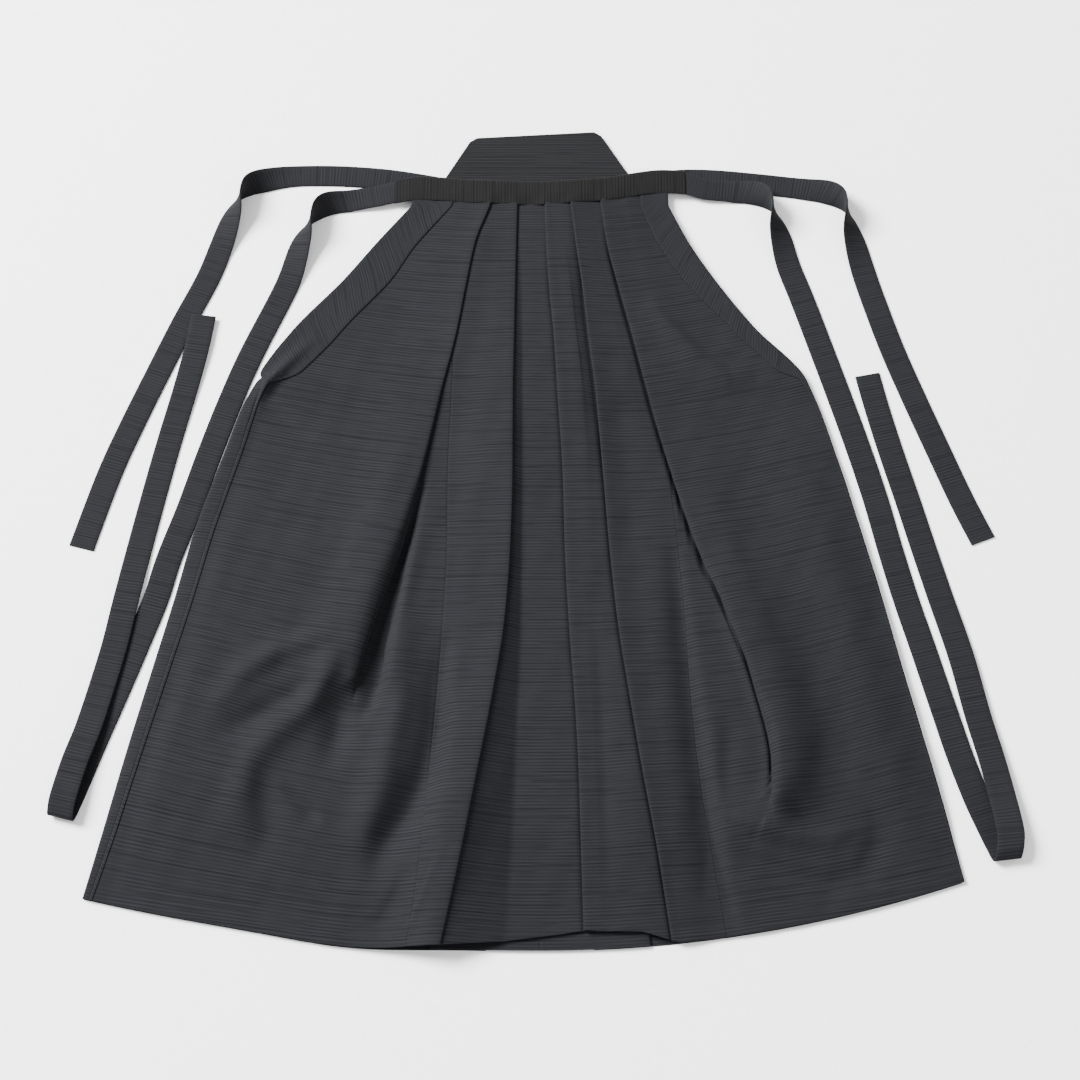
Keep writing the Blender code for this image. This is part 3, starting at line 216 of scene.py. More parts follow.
Fold = namedtuple("Fold", "x y near far height")
SOFT_FOLDS = (
    # the mouth of the left pleat: a slope on its left, a steep wall on its right
    (Fold(-0.134, -0.370, 0.006, 0.005, 0.0), Fold(-0.142, -0.405, 0.006, 0.005, -0.0045),
     Fold(-0.149, -0.443, 0.007, 0.005, -0.0085), Fold(-0.157, -0.481, 0.010, 0.005, -0.0115),
     Fold(-0.164, -0.519, 0.014, 0.006, -0.0135), Fold(-0.171, -0.556, 0.016, 0.006, -0.0140),
     Fold(-0.177, -0.592, 0.018, 0.006, -0.0145), Fold(-0.181, -0.629, 0.018, 0.006, -0.0140),
     Fold(-0.188, -0.657, 0.016, 0.007, -0.0110), Fold(-0.205, -0.682, 0.013, 0.008, 0.0)),
    # the crisp rim along that wall
    (Fold(-0.136, -0.430, 0.005, 0.012, 0.0), Fold(-0.146, -0.481, 0.005, 0.013, 0.0035),
     Fold(-0.153, -0.519, 0.005, 0.013, 0.0042), Fold(-0.160, -0.556, 0.005, 0.014, 0.0048),
     Fold(-0.166, -0.592, 0.005, 0.014, 0.0048), Fold(-0.170, -0.629, 0.005, 0.013, 0.0044),
     Fold(-0.177, -0.657, 0.006, 0.012, 0.0)),
    # a softer hollow to the left of it
    (Fold(-0.202, -0.590, 0.014, 0.014, 0.0), Fold(-0.216, -0.645, 0.018, 0.016, -0.0078),
     Fold(-0.226, -0.695, 0.018, 0.018, -0.0095), Fold(-0.234, -0.740, 0.016, 0.016, 0.0)),
    # the ridge that the opened pleat leaves
    (Fold(-0.144, -0.540, 0.014, 0.014, 0.0), Fold(-0.153, -0.610, 0.016, 0.016, 0.0060),
     Fold(-0.158, -0.665, 0.018, 0.017, 0.0088), Fold(-0.166, -0.706, 0.020, 0.018, 0.0090),
     Fold(-0.172, -0.748, 0.022, 0.018, 0.0092), Fold(-0.187, -0.795, 0.020, 0.016, 0.0074),
     Fold(-0.203, -0.842, 0.016, 0.014, 0.0)),
    # the trough between that ridge and the seam
    (Fold(-0.104, -0.570, 0.010, 0.008, 0.0), Fold(-0.112, -0.635, 0.014, 0.010, -0.0075),
     Fold(-0.113, -0.686, 0.018, 0.012, -0.0125), Fold(-0.124, -0.746, 0.020, 0.015, -0.0137),
     Fold(-0.141, -0.784, 0.020, 0.018, -0.0125), Fold(-0.168, -0.820, 0.016, 0.020, -0.0088),
     Fold(-0.182, -0.870, 0.014, 0.018, 0.0)),
    # a long ridge that crosses the left panel
    (Fold(-0.228, -0.585, 0.018, 0.012, 0.0), Fold(-0.238, -0.626, 0.018, 0.012, 0.0062),
     Fold(-0.256, -0.662, 0.018, 0.013, 0.0080), Fold(-0.292, -0.694, 0.018, 0.015, 0.0074),
     Fold(-0.316, -0.726, 0.020, 0.017, 0.0064), Fold(-0.325, -0.762, 0.020, 0.017, 0.0050),
     Fold(-0.332, -0.815, 0.020, 0.018, 0.0)),
    # a short ridge above it and the trough between the two
    (Fold(-0.224, -0.570, 0.014, 0.012, 0.0), Fold(-0.260, -0.584, 0.015, 0.012, 0.0050),
     Fold(-0.297, -0.598, 0.015, 0.012, 0.0068), Fold(-0.328, -0.618, 0.016, 0.013, 0.0060),
     Fold(-0.351, -0.650, 0.016, 0.014, 0.0036), Fold(-0.366, -0.680, 0.016, 0.014, 0.0)),
    (Fold(-0.243, -0.622, 0.010, 0.012, 0.0), Fold(-0.274, -0.645, 0.013, 0.013, -0.0045),
     Fold(-0.309, -0.668, 0.014, 0.014, -0.0060), Fold(-0.339, -0.686, 0.014, 0.014, -0.0045),
     Fold(-0.366, -0.696, 0.014, 0.014, 0.0)),
    # a sharp little dent and a hollow below the long ridge
    (Fold(-0.238, -0.797, 0.005, 0.008, 0.0), Fold(-0.250, -0.784, 0.006, 0.010, -0.005),
     Fold(-0.270, -0.764, 0.006, 0.010, -0.0044), Fold(-0.284, -0.752, 0.005, 0.008, 0.0)),
    (Fold(-0.308, -0.710, 0.013, 0.018, 0.0), Fold(-0.302, -0.765, 0.016, 0.020, -0.0056),
     Fold(-0.295, -0.805, 0.016, 0.020, -0.0056), Fold(-0.310, -0.848, 0.013, 0.018, 0.0)),
    # small creases near the left hem
    (Fold(-0.145, -0.846, 0.007, 0.012, 0.0), Fold(-0.153, -0.876, 0.008, 0.014, -0.0037),
     Fold(-0.170, -0.903, 0.008, 0.014, -0.0037), Fold(-0.202, -0.918, 0.006, 0.012, 0.0)),
    (Fold(-0.100, -0.815, 0.003, 0.005, 0.0), Fold(-0.120, -0.865, 0.003, 0.005, 0.0013),
     Fold(-0.140, -0.915, 0.003, 0.005, 0.001)),
    # a trough that bends the strip between D and E
    (Fold(0.058, -0.500, 0.006, 0.010, 0.0), Fold(0.066, -0.630, 0.006, 0.010, -0.0014),
     Fold(0.070, -0.760, 0.006, 0.011, -0.0018), Fold(0.073, -0.936, 0.006, 0.011, -0.0014)),
    # the rounded end of the right pleat, with a long slope on its right, and the valley beside it
    (Fold(0.196, -0.470, 0.010, 0.018, 0.0), Fold(0.216, -0.560, 0.010, 0.030, 0.0040),
     Fold(0.240, -0.630, 0.011, 0.038, 0.0068), Fold(0.256, -0.672, 0.013, 0.042, 0.0085),
     Fold(0.264, -0.705, 0.014, 0.044, 0.0092), Fold(0.263, -0.742, 0.014, 0.040, 0.0086),
     Fold(0.251, -0.774, 0.013, 0.030, 0.0065), Fold(0.224, -0.788, 0.010, 0.012, 0.0)),
    (Fold(0.226, -0.380, 0.014, 0.020, 0.0), Fold(0.238, -0.470, 0.016, 0.024, -0.0022),
     Fold(0.272, -0.560, 0.020, 0.028, -0.0028), Fold(0.296, -0.620, 0.022, 0.032, -0.0034),
     Fold(0.310, -0.680, 0.024, 0.036, -0.0038), Fold(0.310, -0.735, 0.024, 0.036, -0.0038),
     Fold(0.294, -0.784, 0.020, 0.028, -0.0020)),
    # the trough inside it, and the ridge and the trough that cross below
    (Fold(0.205, -0.640, 0.009, 0.012, 0.0), Fold(0.208, -0.700, 0.010, 0.013, -0.002),
     Fold(0.204, -0.745, 0.010, 0.013, -0.003), Fold(0.205, -0.780, 0.010, 0.012, -0.002)),
    (Fold(0.352, -0.800, 0.010, 0.009, 0.0), Fold(0.316, -0.816, 0.012, 0.010, 0.004),
     Fold(0.272, -0.812, 0.013, 0.011, 0.0065), Fold(0.230, -0.800, 0.013, 0.010, 0.006),
     Fold(0.186, -0.776, 0.012, 0.009, 0.0)),
    (Fold(0.366, -0.765, 0.010, 0.014, 0.0), Fold(0.366, -0.815, 0.011, 0.016, -0.005),
     Fold(0.346, -0.852, 0.012, 0.016, -0.006), Fold(0.314, -0.864, 0.012, 0.017, -0.006),
     Fold(0.280, -0.856, 0.011, 0.016, -0.0055), Fold(0.234, -0.838, 0.009, 0.015, -0.0045),
     Fold(0.190, -0.826, 0.008, 0.014, 0.0)),
    # the cloth slopes down to seam G from the left
    (Fold(0.153, -0.440, 0.012, 0.008, 0.0), Fold(0.158, -0.520, 0.014, 0.008, -0.0050),
     Fold(0.168, -0.640, 0.017, 0.009, -0.0078), Fold(0.180, -0.760, 0.020, 0.010, -0.0100),
     Fold(0.191, -0.850, 0.022, 0.011, -0.0110), Fold(0.201, -0.925, 0.024, 0.012, -0.0110)),
    # pleat A stands up a little at the waist, and the cloth beside it slopes away
    (Fold(-0.061, 0.010, 0.030, 0.016, 0.0025), Fold(-0.079, -0.060, 0.030, 0.018, 0.0035),
     Fold(-0.090, -0.120, 0.030, 0.020, 0.0035), Fold(-0.102, -0.195, 0.030, 0.020, 0.0030),
     Fold(-0.118, -0.272, 0.028, 0.018, 0.0020), Fold(-0.138, -0.388, 0.024, 0.014, 0.0)),
    # the lower end of the left turned strip puffs up, with a hollow beside it
    (Fold(-0.270, -0.185, 0.008, 0.006, 0.0), Fold(-0.300, -0.222, 0.009, 0.006, 0.0045),
     Fold(-0.322, -0.248, 0.009, 0.006, 0.0070), Fold(-0.334, -0.270, 0.008, 0.006, 0.0050),
     Fold(-0.338, -0.290, 0.006, 0.006, 0.0)),
    (Fold(-0.352, -0.215, 0.006, 0.010, 0.0), Fold(-0.346, -0.242, 0.006, 0.010, -0.0060),
     Fold(-0.342, -0.262, 0.006, 0.009, -0.0060), Fold(-0.336, -0.285, 0.005, 0.008, 0.0)),
    # drag lines that run out from the waist
    (Fold(0.258, -0.238, 0.010, 0.016, 0.0), Fold(0.222, -0.240, 0.010, 0.018, 0.0055),
     Fold(0.190, -0.214, 0.010, 0.018, 0.0060), Fold(0.156, -0.172, 0.009, 0.016, 0.0040),
     Fold(0.130, -0.134, 0.008, 0.012, 0.0)),
    (Fold(0.158, -0.012, 0.006, 0.008, 0.0), Fold(0.140, -0.024, 0.008, 0.010, -0.0012),
     Fold(0.112, -0.038, 0.008, 0.010, -0.0012), Fold(0.090, -0.046, 0.006, 0.008, 0.0)),
    # a dent that runs in from the left opening
    (Fold(-0.262, -0.320, 0.008, 0.012, 0.0), Fold(-0.290, -0.308, 0.009, 0.014, -0.0025),
     Fold(-0.312, -0.290, 0.009, 0.014, -0.003), Fold(-0.327, -0.278, 0.008, 0.012, 0.0)),
    # long shallow drapes over the two outer panels
    (Fold(-0.190, -0.230, 0.022, 0.026, 0.0), Fold(-0.230, -0.330, 0.026, 0.030, 0.0015),
     Fold(-0.255, -0.430, 0.028, 0.032, 0.0019), Fold(-0.290, -0.540, 0.026, 0.030, 0.0)),
    (Fold(0.290, -0.300, 0.024, 0.028, 0.0), Fold(0.318, -0.430, 0.030, 0.034, 0.0015),
     Fold(0.345, -0.580, 0.030, 0.034, 0.002), Fold(0.372, -0.720, 0.028, 0.030, 0.0)),
)

Slope = namedtuple("Slope", "leg low height")
BESIDE_C = (
    Slope(0.05, -0.0240, 0.0),
    Slope(0.15, -0.0220, 0.0024),
    Slope(0.30, -0.0210, 0.0054),
    Slope(0.50, -0.0215, 0.0078),
    Slope(0.62, -0.0225, 0.0112),
    Slope(0.73, -0.0260, 0.0160),
    Slope(0.84, -0.0290, 0.0205),
    Slope(1.00, -0.0370, 0.0225),
)
LEFT_OF_C = 0.050


def fold_height(x, y, lines):
    total = np.zeros(np.broadcast(x, y).shape)
    for line in lines:
        nearest = np.full(total.shape, np.inf)
        height = np.zeros(total.shape)
        for start, end in zip(line, line[1:]):
            run_x, run_y = end.x - start.x, end.y - start.y
            passed = (x - start.x) * run_x + (y - start.y) * run_y
            t = np.clip(passed / (run_x ** 2 + run_y ** 2), 0.0, 1.0)
            off_x, off_y = x - start.x - t * run_x, y - start.y - t * run_y
            far_side = run_x * off_y - run_y * off_x > 0.0
            half_width = np.where(far_side, mix(start.far, end.far, t), mix(start.near, end.near, t))
            share = np.hypot(off_x, off_y) / half_width
            closer = share < nearest
            nearest = np.where(closer, share, nearest)
            height = np.where(closer, mix(start.height, end.height, t), height)
        total += height * np.exp(-nearest ** 2)
    return total


print(len(SOFT_FOLDS), "soft folds")

# %% [markdown]
# ## One class for the whole front
#
# `Front` knows, for every station down the leg at once, where each line runs and how high the
# lowest layer lies. The methods named `level_...` give how many levels a strip of cloth lies above
# that layer; they only ever rise on the way to the fold above, so strips cannot pass through each
# other. `plan_y` bends the stations upward at both sides, as the hem and the stripes bend.
#
# `soft` adds up what is not pressed: the spring of the layers, the billow of the loose panels and
# the folds above. It never falls below a thin remainder, so the front stays on the back. `dip`
# presses the layer just beside a folded edge down into a narrow groove, which makes the fine dark
# line beside a pleat. A fold laid over both layers would pull the edge down with it.

# %% Lines and levels of the front
BESIDE_SLIT = (0.280, 0.305)
OPENS_A = (0.63, 0.73)
OPENS_F = (0.81, 0.89)
NEAR_HEM = (0.88, 1.0)
HEM_PRESSED = 0.74
HEM_SAG = 0.006
HEM_SAG_X = -0.205
HEM_SAG_WIDTH = 0.085
PLEAT_DEPTH = 0.028
OPEN_DEPTH = 0.013
LOOSE_EDGE = 0.0075
DRAPE = 0.070
BACK_LAYERS = 3.2
UNDER_BAND = BAND_INSIDE + 0.0017
SPRING = 0.0030
ROLL = 0.0026
THINNEST = 0.002
NARROW_DIP = {"d": 0.0017, "e": 0.0025, "f": 0.0062}
NARROW_WIDTH = 0.0038
WIDE_DIP = {"d": 0.0, "e": 0.0034, "f": 0.0010}
DIP_SHIFT = 0.0015
DIP_MARGIN = 0.0012


class Front:
    def __init__(self, legs):
        self.leg = np.asarray(legs, float)[:, None]
        loosened = mix(LEVEL_WAIST, LEVEL_HEM, ease(self.leg, 0.15, 0.75))
        self.step = loosened * mix(1.0, HEM_PRESSED, ease(self.leg, *NEAR_HEM))
        (self.side_left, self.a, self.b, self.c, self.d, self.e, self.f, self.g, self.side_right) = [
            follow(PLAN, column, self.leg) for column in Plan._fields[1:]]
        self.a_in = self.a - mix(PLEAT_DEPTH, OPEN_DEPTH, ease(self.leg, 0.40, OPENS_A[0]))
        self.c_in = self.c - PLEAT_DEPTH
        self.d_in = self.d + PLEAT_DEPTH
        self.e_in = self.e + PLEAT_DEPTH
        self.f_in = self.f + mix(PLEAT_DEPTH, OPEN_DEPTH, ease(self.leg, 0.60, OPENS_F[0]))
        self.leg_end = mix(self.c, self.d, 0.4)
        self.back_pleat = follow(BACK, "pleat", self.leg)
        self.back_in = self.back_pleat + follow(BACK, "depth", self.leg)
        self.rolled = follow(BACK, "rolled", self.leg)
        self.open_a = ease(self.leg, *OPENS_A)
        self.open_f = ease(self.leg, *OPENS_F)
        self.ease_left = np.minimum(DRAPE, 0.6 * (self.a_in - self.side_left))
        self.ease_right = np.minimum(DRAPE, 0.6 * (self.side_right - self.f_in))

    def level_cd(self, x):
        return ramp(x, self.c_in, self.leg_end)

    def level_ac(self, x):
        return 2.0 * ease(x, self.a_in, self.c_in) + self.level_cd(x)

    def level_left(self, x):
        return 2.0 * ease(x, self.a_in - self.ease_left, self.a_in) + self.level_ac(x)

    def level_de(self, x):
        return 3.0 - 3.0 * ramp(x, self.d_in, self.e_in)

    def level_ef(self, x):
        return 2.0 - 2.0 * ramp(x, self.e_in, self.f_in) + self.level_de(x)

    def level_right(self, x):
        return 2.0 - 2.0 * ease(x, self.f_in, self.f_in + self.ease_right) + self.level_ef(x)

    def plan_y(self, x):
        flare = self.side_right / HEM_HALF_WIDTH
        bow = np.where(x < 0.0, HEM_BOW_LEFT, HEM_BOW_RIGHT)
        sag = HEM_SAG * np.exp(-((x - HEM_SAG_X) / HEM_SAG_WIDTH) ** 2) * np.maximum(self.leg, 0.0) ** 4
        return -LEG_LENGTH * self.leg + bow * np.maximum(self.leg, 0.0) * (x / flare) ** 2 - sag

    def lowest(self, x):
        inside = 1.0 - ease(np.abs(x), self.back_in - 0.005, self.back_in + 0.035)
        beside = 1.0 + (1.0 - ease(self.leg, *BESIDE_SLIT))
        resting = GROUND + self.step * mix(beside, BACK_LAYERS, inside)
        return mix(np.maximum(UNDER_BAND, resting), resting, ease(self.leg, 0.03, 0.13))

    def beside_c(self, x):
        low = follow(BESIDE_C, "low", self.leg)
        across = ramp(x, low, self.c)
        left = np.exp(-(np.maximum(self.c - x, 0.0) / LEFT_OF_C) ** 2)
        return follow(BESIDE_C, "height", self.leg) * across * left

    def soft(self, x):
        loose = ease(self.leg, 0.30, 0.62)
        off_middle = ease(np.abs(x), 0.055, 0.14)
        edge = np.where(x < 0.0, -self.side_left, self.side_right)
        spring = SPRING * ease(self.leg, 0.02, 0.12) + SPRING * ease(self.leg, 0.30, 0.75)
        billow = spring + BILLOW * loose * off_middle * ease(edge - np.abs(x), 0.0, 0.05)
        beside_roll = 1.0 - ease(x, self.side_left + 0.010, self.side_left + 0.030)
        roll = np.where(x < 0.0, ROLL * ease(self.leg, 0.30, 0.36) * beside_roll, 0.0)
        folds = fold_height(x, self.plan_y(x), SOFT_FOLDS) * ease(self.leg, 0.01, 0.05)
        at_hem = ease(self.leg, 0.82, 1.0)
        total = billow * mix(1.0, 0.20, at_hem) + (roll + folds) * mix(1.0, 0.50, at_hem)
        total = total + self.beside_c(x) * mix(1.0, 0.70, at_hem)
        remainder = THINNEST * np.exp(np.minimum(total, THINNEST) / THINNEST - 1.0)
        return np.where(total > THINNEST, total, remainder)

    def floor(self, x):
        return self.lowest(x) + self.soft(x)

    def dip(self, x, pleat):
        beside = x - getattr(self, pleat) - DIP_SHIFT
        narrow = NARROW_DIP[pleat] * np.exp(-(beside / NARROW_WIDTH) ** 2) * ease(self.leg, 0.0, 0.16)
        spread = ease(self.leg, 0.04, 0.16) * (1.0 - ease(self.leg, 0.28, 0.44))
        wide = WIDE_DIP[pleat] * np.exp(-(beside / np.where(beside < 0.0, 0.013, 0.005)) ** 2) * spread
        return -np.minimum(narrow + wide, self.soft(x) + DIP_MARGIN)


some = Front((0.0, 0.5, 1.0))
print("front's width down the leg:", np.round((some.side_right - some.side_left).ravel(), 3))

# %% [markdown]
# ## From a few control points to a fine grid
#
# Each piece is described by a cross-section: a short list of control points, each with its x and
# its height above the front's lowest layer. `Section` collects them. Then a curve is drawn through
# the points of every station, with more steps where the points lie far apart. The curve is a
# centripetal Catmull-Rom spline: it goes through its points and makes no loops at tight turns,
# which is what the fold of a pleat needs.

# %% Cross-sections and the curve through them
ACROSS_STEP = 0.004
TURN_STEPS = 2
LONGEST_TURN = 0.0045
GROOVE_STEPS = (0.012, 0.008, 0.005, 0.0025, 0.0, -0.004)
GROOVE_SPACING = 0.003


class Section:
    def __init__(self, front):
        self.front = front
        self.points = []

    def add(self, x, level, lift=0.0):
        height = level * self.front.step + lift
        x, height = np.broadcast_arrays(x + 0.0 * self.front.leg, height + 0.0 * self.front.leg)
        self.points.append(np.stack((x, height), axis=-1)[:, 0])

    def strip(self, start, end, level, count):
        for share in np.linspace(0.0, 1.0, count):
            x = mix(start, end, share)
            self.add(x, level(x))

    def groove(self, pleat, level, last=None):
        for step, off in enumerate(GROOVE_STEPS):
            x = getattr(self.front, pleat) - off
            if last is not None:
                x = np.minimum(x, last - GROOVE_SPACING * (len(GROOVE_STEPS) - step))
            self.add(x, level(x), self.front.dip(x, pleat))

    def rows(self):
        return np.stack(self.points, axis=1)


def curve_rows(control):
    lengths = np.linalg.norm(np.diff(control, axis=1), axis=2)
    before = 2.0 * control[:, :1] - control[:, 1:2]
    after = 2.0 * control[:, -1:] - control[:, -2:-1]
    padded = np.concatenate((before, control, after), axis=1)
    pieces = []
    for i in range(control.shape[1] - 1):
        longest = lengths[:, i].max()
        steps = TURN_STEPS
        if longest >= LONGEST_TURN:
            steps = max(TURN_STEPS, math.ceil(longest / ACROSS_STEP))
        p = [padded[:, i + k][:, None] for k in range(4)]
        apart = [np.linalg.norm(p[k + 1] - p[k], axis=2, keepdims=True) for k in range(3)]
        gaps = [np.sqrt(np.maximum(distance, 1e-6)) for distance in apart]
        t1 = gaps[0]
        t2 = t1 + gaps[1]
        t3 = t2 + gaps[2]
        t = t1 + gaps[1] * np.linspace(0.0, 1.0, steps, endpoint=False)[None, :, None]
        a1 = p[0] * (t1 - t) / t1 + p[1] * t / t1
        a2 = p[1] * (t2 - t) / gaps[1] + p[2] * (t - t1) / gaps[1]
        a3 = p[2] * (t3 - t) / gaps[2] + p[3] * (t - t2) / gaps[2]
        b1 = a1 * (t2 - t) / t2 + a2 * t / t2
        b2 = a2 * (t3 - t) / (t3 - t1) + a3 * (t - t1) / (t3 - t1)
        pieces.append(b1 * (t2 - t) / gaps[1] + b2 * (t - t1) / gaps[1])
    pieces.append(control[:, -1:])
    return np.concatenate(pieces, axis=1)


half_turn = curve_rows(np.array([[(0.0, 0.0), (0.02, 0.0), (0.021, 0.001), (0.02, 0.002), (0.0, 0.002)]]))
print("five control points became", half_turn.shape[1])

# %% [markdown]
# ## A sheet of cloth
#
# `shell` turns a grid of points into a mesh and gives it its thickness. It also stores, in a UV map
# named "cloth", where each point lay on the flat cloth in metres: how far across and how far down.
# The stripes are woven across the cloth, so they are drawn from the "down" value and follow every
# fold by themselves. Solidify thickens the sheet; it stays a modifier, as a designer would keep it.
# Weighted normals then keep the broad faces smooth and the thin cut edges crisp.

# %% Make a shell from a grid
ENDS_SMOOTH_ANGLE = math.radians(50.0)
made = {}


def new_piece(name, vertices, faces, cloth_uv):
    mesh = bpy.data.meshes.new(name)
    mesh.from_pydata((vertices + np.array(ORIGIN)).tolist(), [], faces)
    corners = np.empty(len(mesh.loops), dtype=np.int32)
    mesh.loops.foreach_get("vertex_index", corners)
    mesh.uv_layers.new(name="cloth").data.foreach_set("uv", cloth_uv[corners].ravel())
    mesh.shade_smooth()
    mesh.set_sharp_from_angle(angle=ENDS_SMOOTH_ANGLE)
    piece = bpy.data.objects.new(name, mesh)
    bpy.context.scene.collection.objects.link(piece)
    made[name] = piece
    return piece


def grid_faces(rows, columns):
    corner = (np.arange(rows - 1)[:, None] * columns + np.arange(columns - 1)[None, :]).ravel()
    return np.stack((corner, corner + 1, corner + columns + 1, corner + columns), axis=1).tolist()


def shell(name, points, across, down, thickness):
    rows, columns = points.shape[:2]
    cloth_uv = np.stack((across.ravel(), down.ravel()), axis=1)
    piece = new_piece(name, points.reshape(-1, 3), grid_faces(rows, columns), cloth_uv)
    wall = piece.modifiers.new("wall", "SOLIDIFY")
    wall.thickness = thickness
    wall.offset = 0.0
    wall.use_even_offset = True
    flat_faces_first = piece.modifiers.new("crisp cut edges", "WEIGHTED_NORMAL")
    flat_faces_first.weight = 90
    flat_faces_first.keep_sharp = True
    print(f"{name}: {rows} x {columns} points")
    return piece


def distance_along(points):
    steps = np.linalg.norm(np.diff(points, axis=1), axis=2)
    return np.concatenate((np.zeros((len(points), 1)), np.cumsum(steps, axis=1)), axis=1)


# %% [markdown]
# ## Loose pleats
#
# Pleats A and F are pressed at the waist but fall open before the hem. A real pleat does this in
# three stages: the fold is flat, then the cloth stands on edge, then it lies open. The table gives
# one cross-section in all three, and `fall_open` blends them. Going straight from flat to open
# would push the cloth through itself.
#
# While the fold is flat, `reach` says how far under it a point lies, `tuck` rounds its turn and
# `up` counts levels. `lift` is a share of the loose edge's rise. The last three columns place the
# point while the cloth stands and once it lies open.

# %% A pleat that falls open
Loose = namedtuple("Loose", "reach tuck up lift stand_in stand_up open_in")
LOOSE_PLEAT = (
    Loose(1.0, 0.0, 2.0, 1.0, 0.0080, 2.00, 0.032),
    Loose(0.5, 0.0, 2.0, 0.9, 0.0040, 2.00, 0.022),
    Loose(0.0, 1.0, 2.0, 0.65, 0.0012, 1.85, 0.014),
    Loose(0.0, 0.0, 1.5, 0.35, -0.0003, 1.50, 0.007),
    Loose(0.0, 1.0, 1.0, 0.0, -0.0006, 1.15, 0.002),
    Loose(0.5, 0.0, 1.0, 0.0, -0.0008, 0.85, -0.003),
    Loose(1.0, -1.0, 1.0, 0.0, -0.0012, 0.50, -0.008),
    Loose(1.0, 0.0, 0.5, 0.0, -0.0020, 0.20, -0.013),
)
STRIP_STAND_IN = -0.005
STRIP_OPEN_IN = -0.020


def fall_open(pressed, standing, opened, share):
    rising = mix(pressed, standing, 2.0 * share)
    falling = mix(standing, opened, 2.0 * share - 1.0)
    return np.where(share < 0.5, rising, falling)


def loose_pleat_points(front, edge, inside, under, share, edge_lift):
    depth = inside - edge
    inward = np.sign(depth)
    for row in LOOSE_PLEAT:
        pressed = edge + row.reach * depth + inward * row.tuck * front.step / 2
        standing = edge + inward * row.stand_in
        opened = edge + inward * row.open_in
        x = fall_open(pressed, standing, opened, share)
        level = fall_open(under(pressed) + row.up, under(standing) + row.stand_up, under(opened), share)
        yield x, level, row.lift * edge_lift * (1.0 - ramp(share, 0.5, 1.0))


def strip_points(edge, inward, places, under, share, dip):
    end = places[-1]
    for along, pressed in zip(np.linspace(0.0, 1.0, len(places)), places):
        standing = mix(edge + inward * STRIP_STAND_IN, end, along)
        opened = mix(edge + inward * STRIP_OPEN_IN, end, along)
        x = fall_open(pressed, standing, opened, share)
        yield x, under(x), dip(x) * (1.0 - ramp(share, 0.0, 0.5))


print(len(LOOSE_PLEAT), "control points round a loose pleat")

# %% [markdown]
# ## The four front panels
#
# Each function walks across one panel and lists its control points. The order is always from the
# left of the garment to the right. Beside pleats D, E and F the lower layer is pressed into a
# groove, where the control points stand close together so that the grid can follow it.

# %% Sections of the four panels
EDGE_GAP = 0.0006
PANEL_SHARES = (0.0, 0.14, 0.28, 0.42, 0.56, 0.70, 0.84, 0.94)
TOWARDS_PLEAT = (0.3, 0.6, 0.85)


def outer_left(front):
    section = Section(front)
    half = front.step / 2
    edge = front.side_left + ease(front.leg, 0.262, 0.280) * (front.rolled + EDGE_GAP)
    turned = follow(TURNED, "left", front.leg)
    over = mix(0.75, 0.50, ease(front.leg, 0.28, 0.36))
    for x in (edge + turned, edge + mix(half, turned, 0.6), edge + mix(half, turned, 0.25), edge + half):
        section.add(x, front.level_left(x) + over)
    section.add(edge, front.level_left(edge) + over / 2)
    inner = front.a_in - front.ease_left
    outer = edge + half

    def level(x):
        return mix(front.level_left(x), front.level_ac(x), front.open_a)

    for share in (1.0,) + PANEL_SHARES[::-1]:
        x = mix(inner, outer, share)
        section.add(x, level(x))
    edge_lift = LOOSE_EDGE * ease(front.leg, 0.2, 0.5)
    pleat = list(loose_pleat_points(front, front.a, front.a_in, front.level_ac, front.open_a, edge_lift))
    pleat_x, _, pleat_lift = pleat[0]
    for share in TOWARDS_PLEAT:
        x = mix(inner, pleat_x, share)
        section.add(x, level(x), ease(share, 0.0, 1.0) * pleat_lift)
    for point in pleat:
        section.add(*point)
    places = [mix(front.a_in + half, front.b - SEAM_GAP / 2, along) for along in np.linspace(0.0, 1.0, 5)]
    for point in strip_points(front.a, -1.0, places, front.level_ac, front.open_a, lambda x: 0.0 * x):
        section.add(*point)
    return section.rows()


def inner_left(front):
    section = Section(front)
    half = front.step / 2
    start = front.b + SEAM_GAP / 2
    for x in (start, mix(start, front.c_in, 0.5), front.c_in, mix(front.c_in, front.c, 0.5), front.c - half):
        section.add(x, front.level_ac(x))
    section.add(front.c, front.level_cd(front.c) + 1.5)
    for x in (front.c - half, mix(front.c, front.c_in, 0.5), front.c_in + half):
        section.add(x, front.level_cd(x) + 1.0)
    section.add(front.c_in, 0.5)
    end = mix(front.d, front.d_in, 0.6)
    for x in (front.c_in + half, mix(front.c, front.c_in, 0.5), front.c, front.leg_end):
        section.add(x, front.level_cd(x))
    section.groove("d", front.level_cd)
    section.add(end, front.level_cd(end))
    return section.rows()


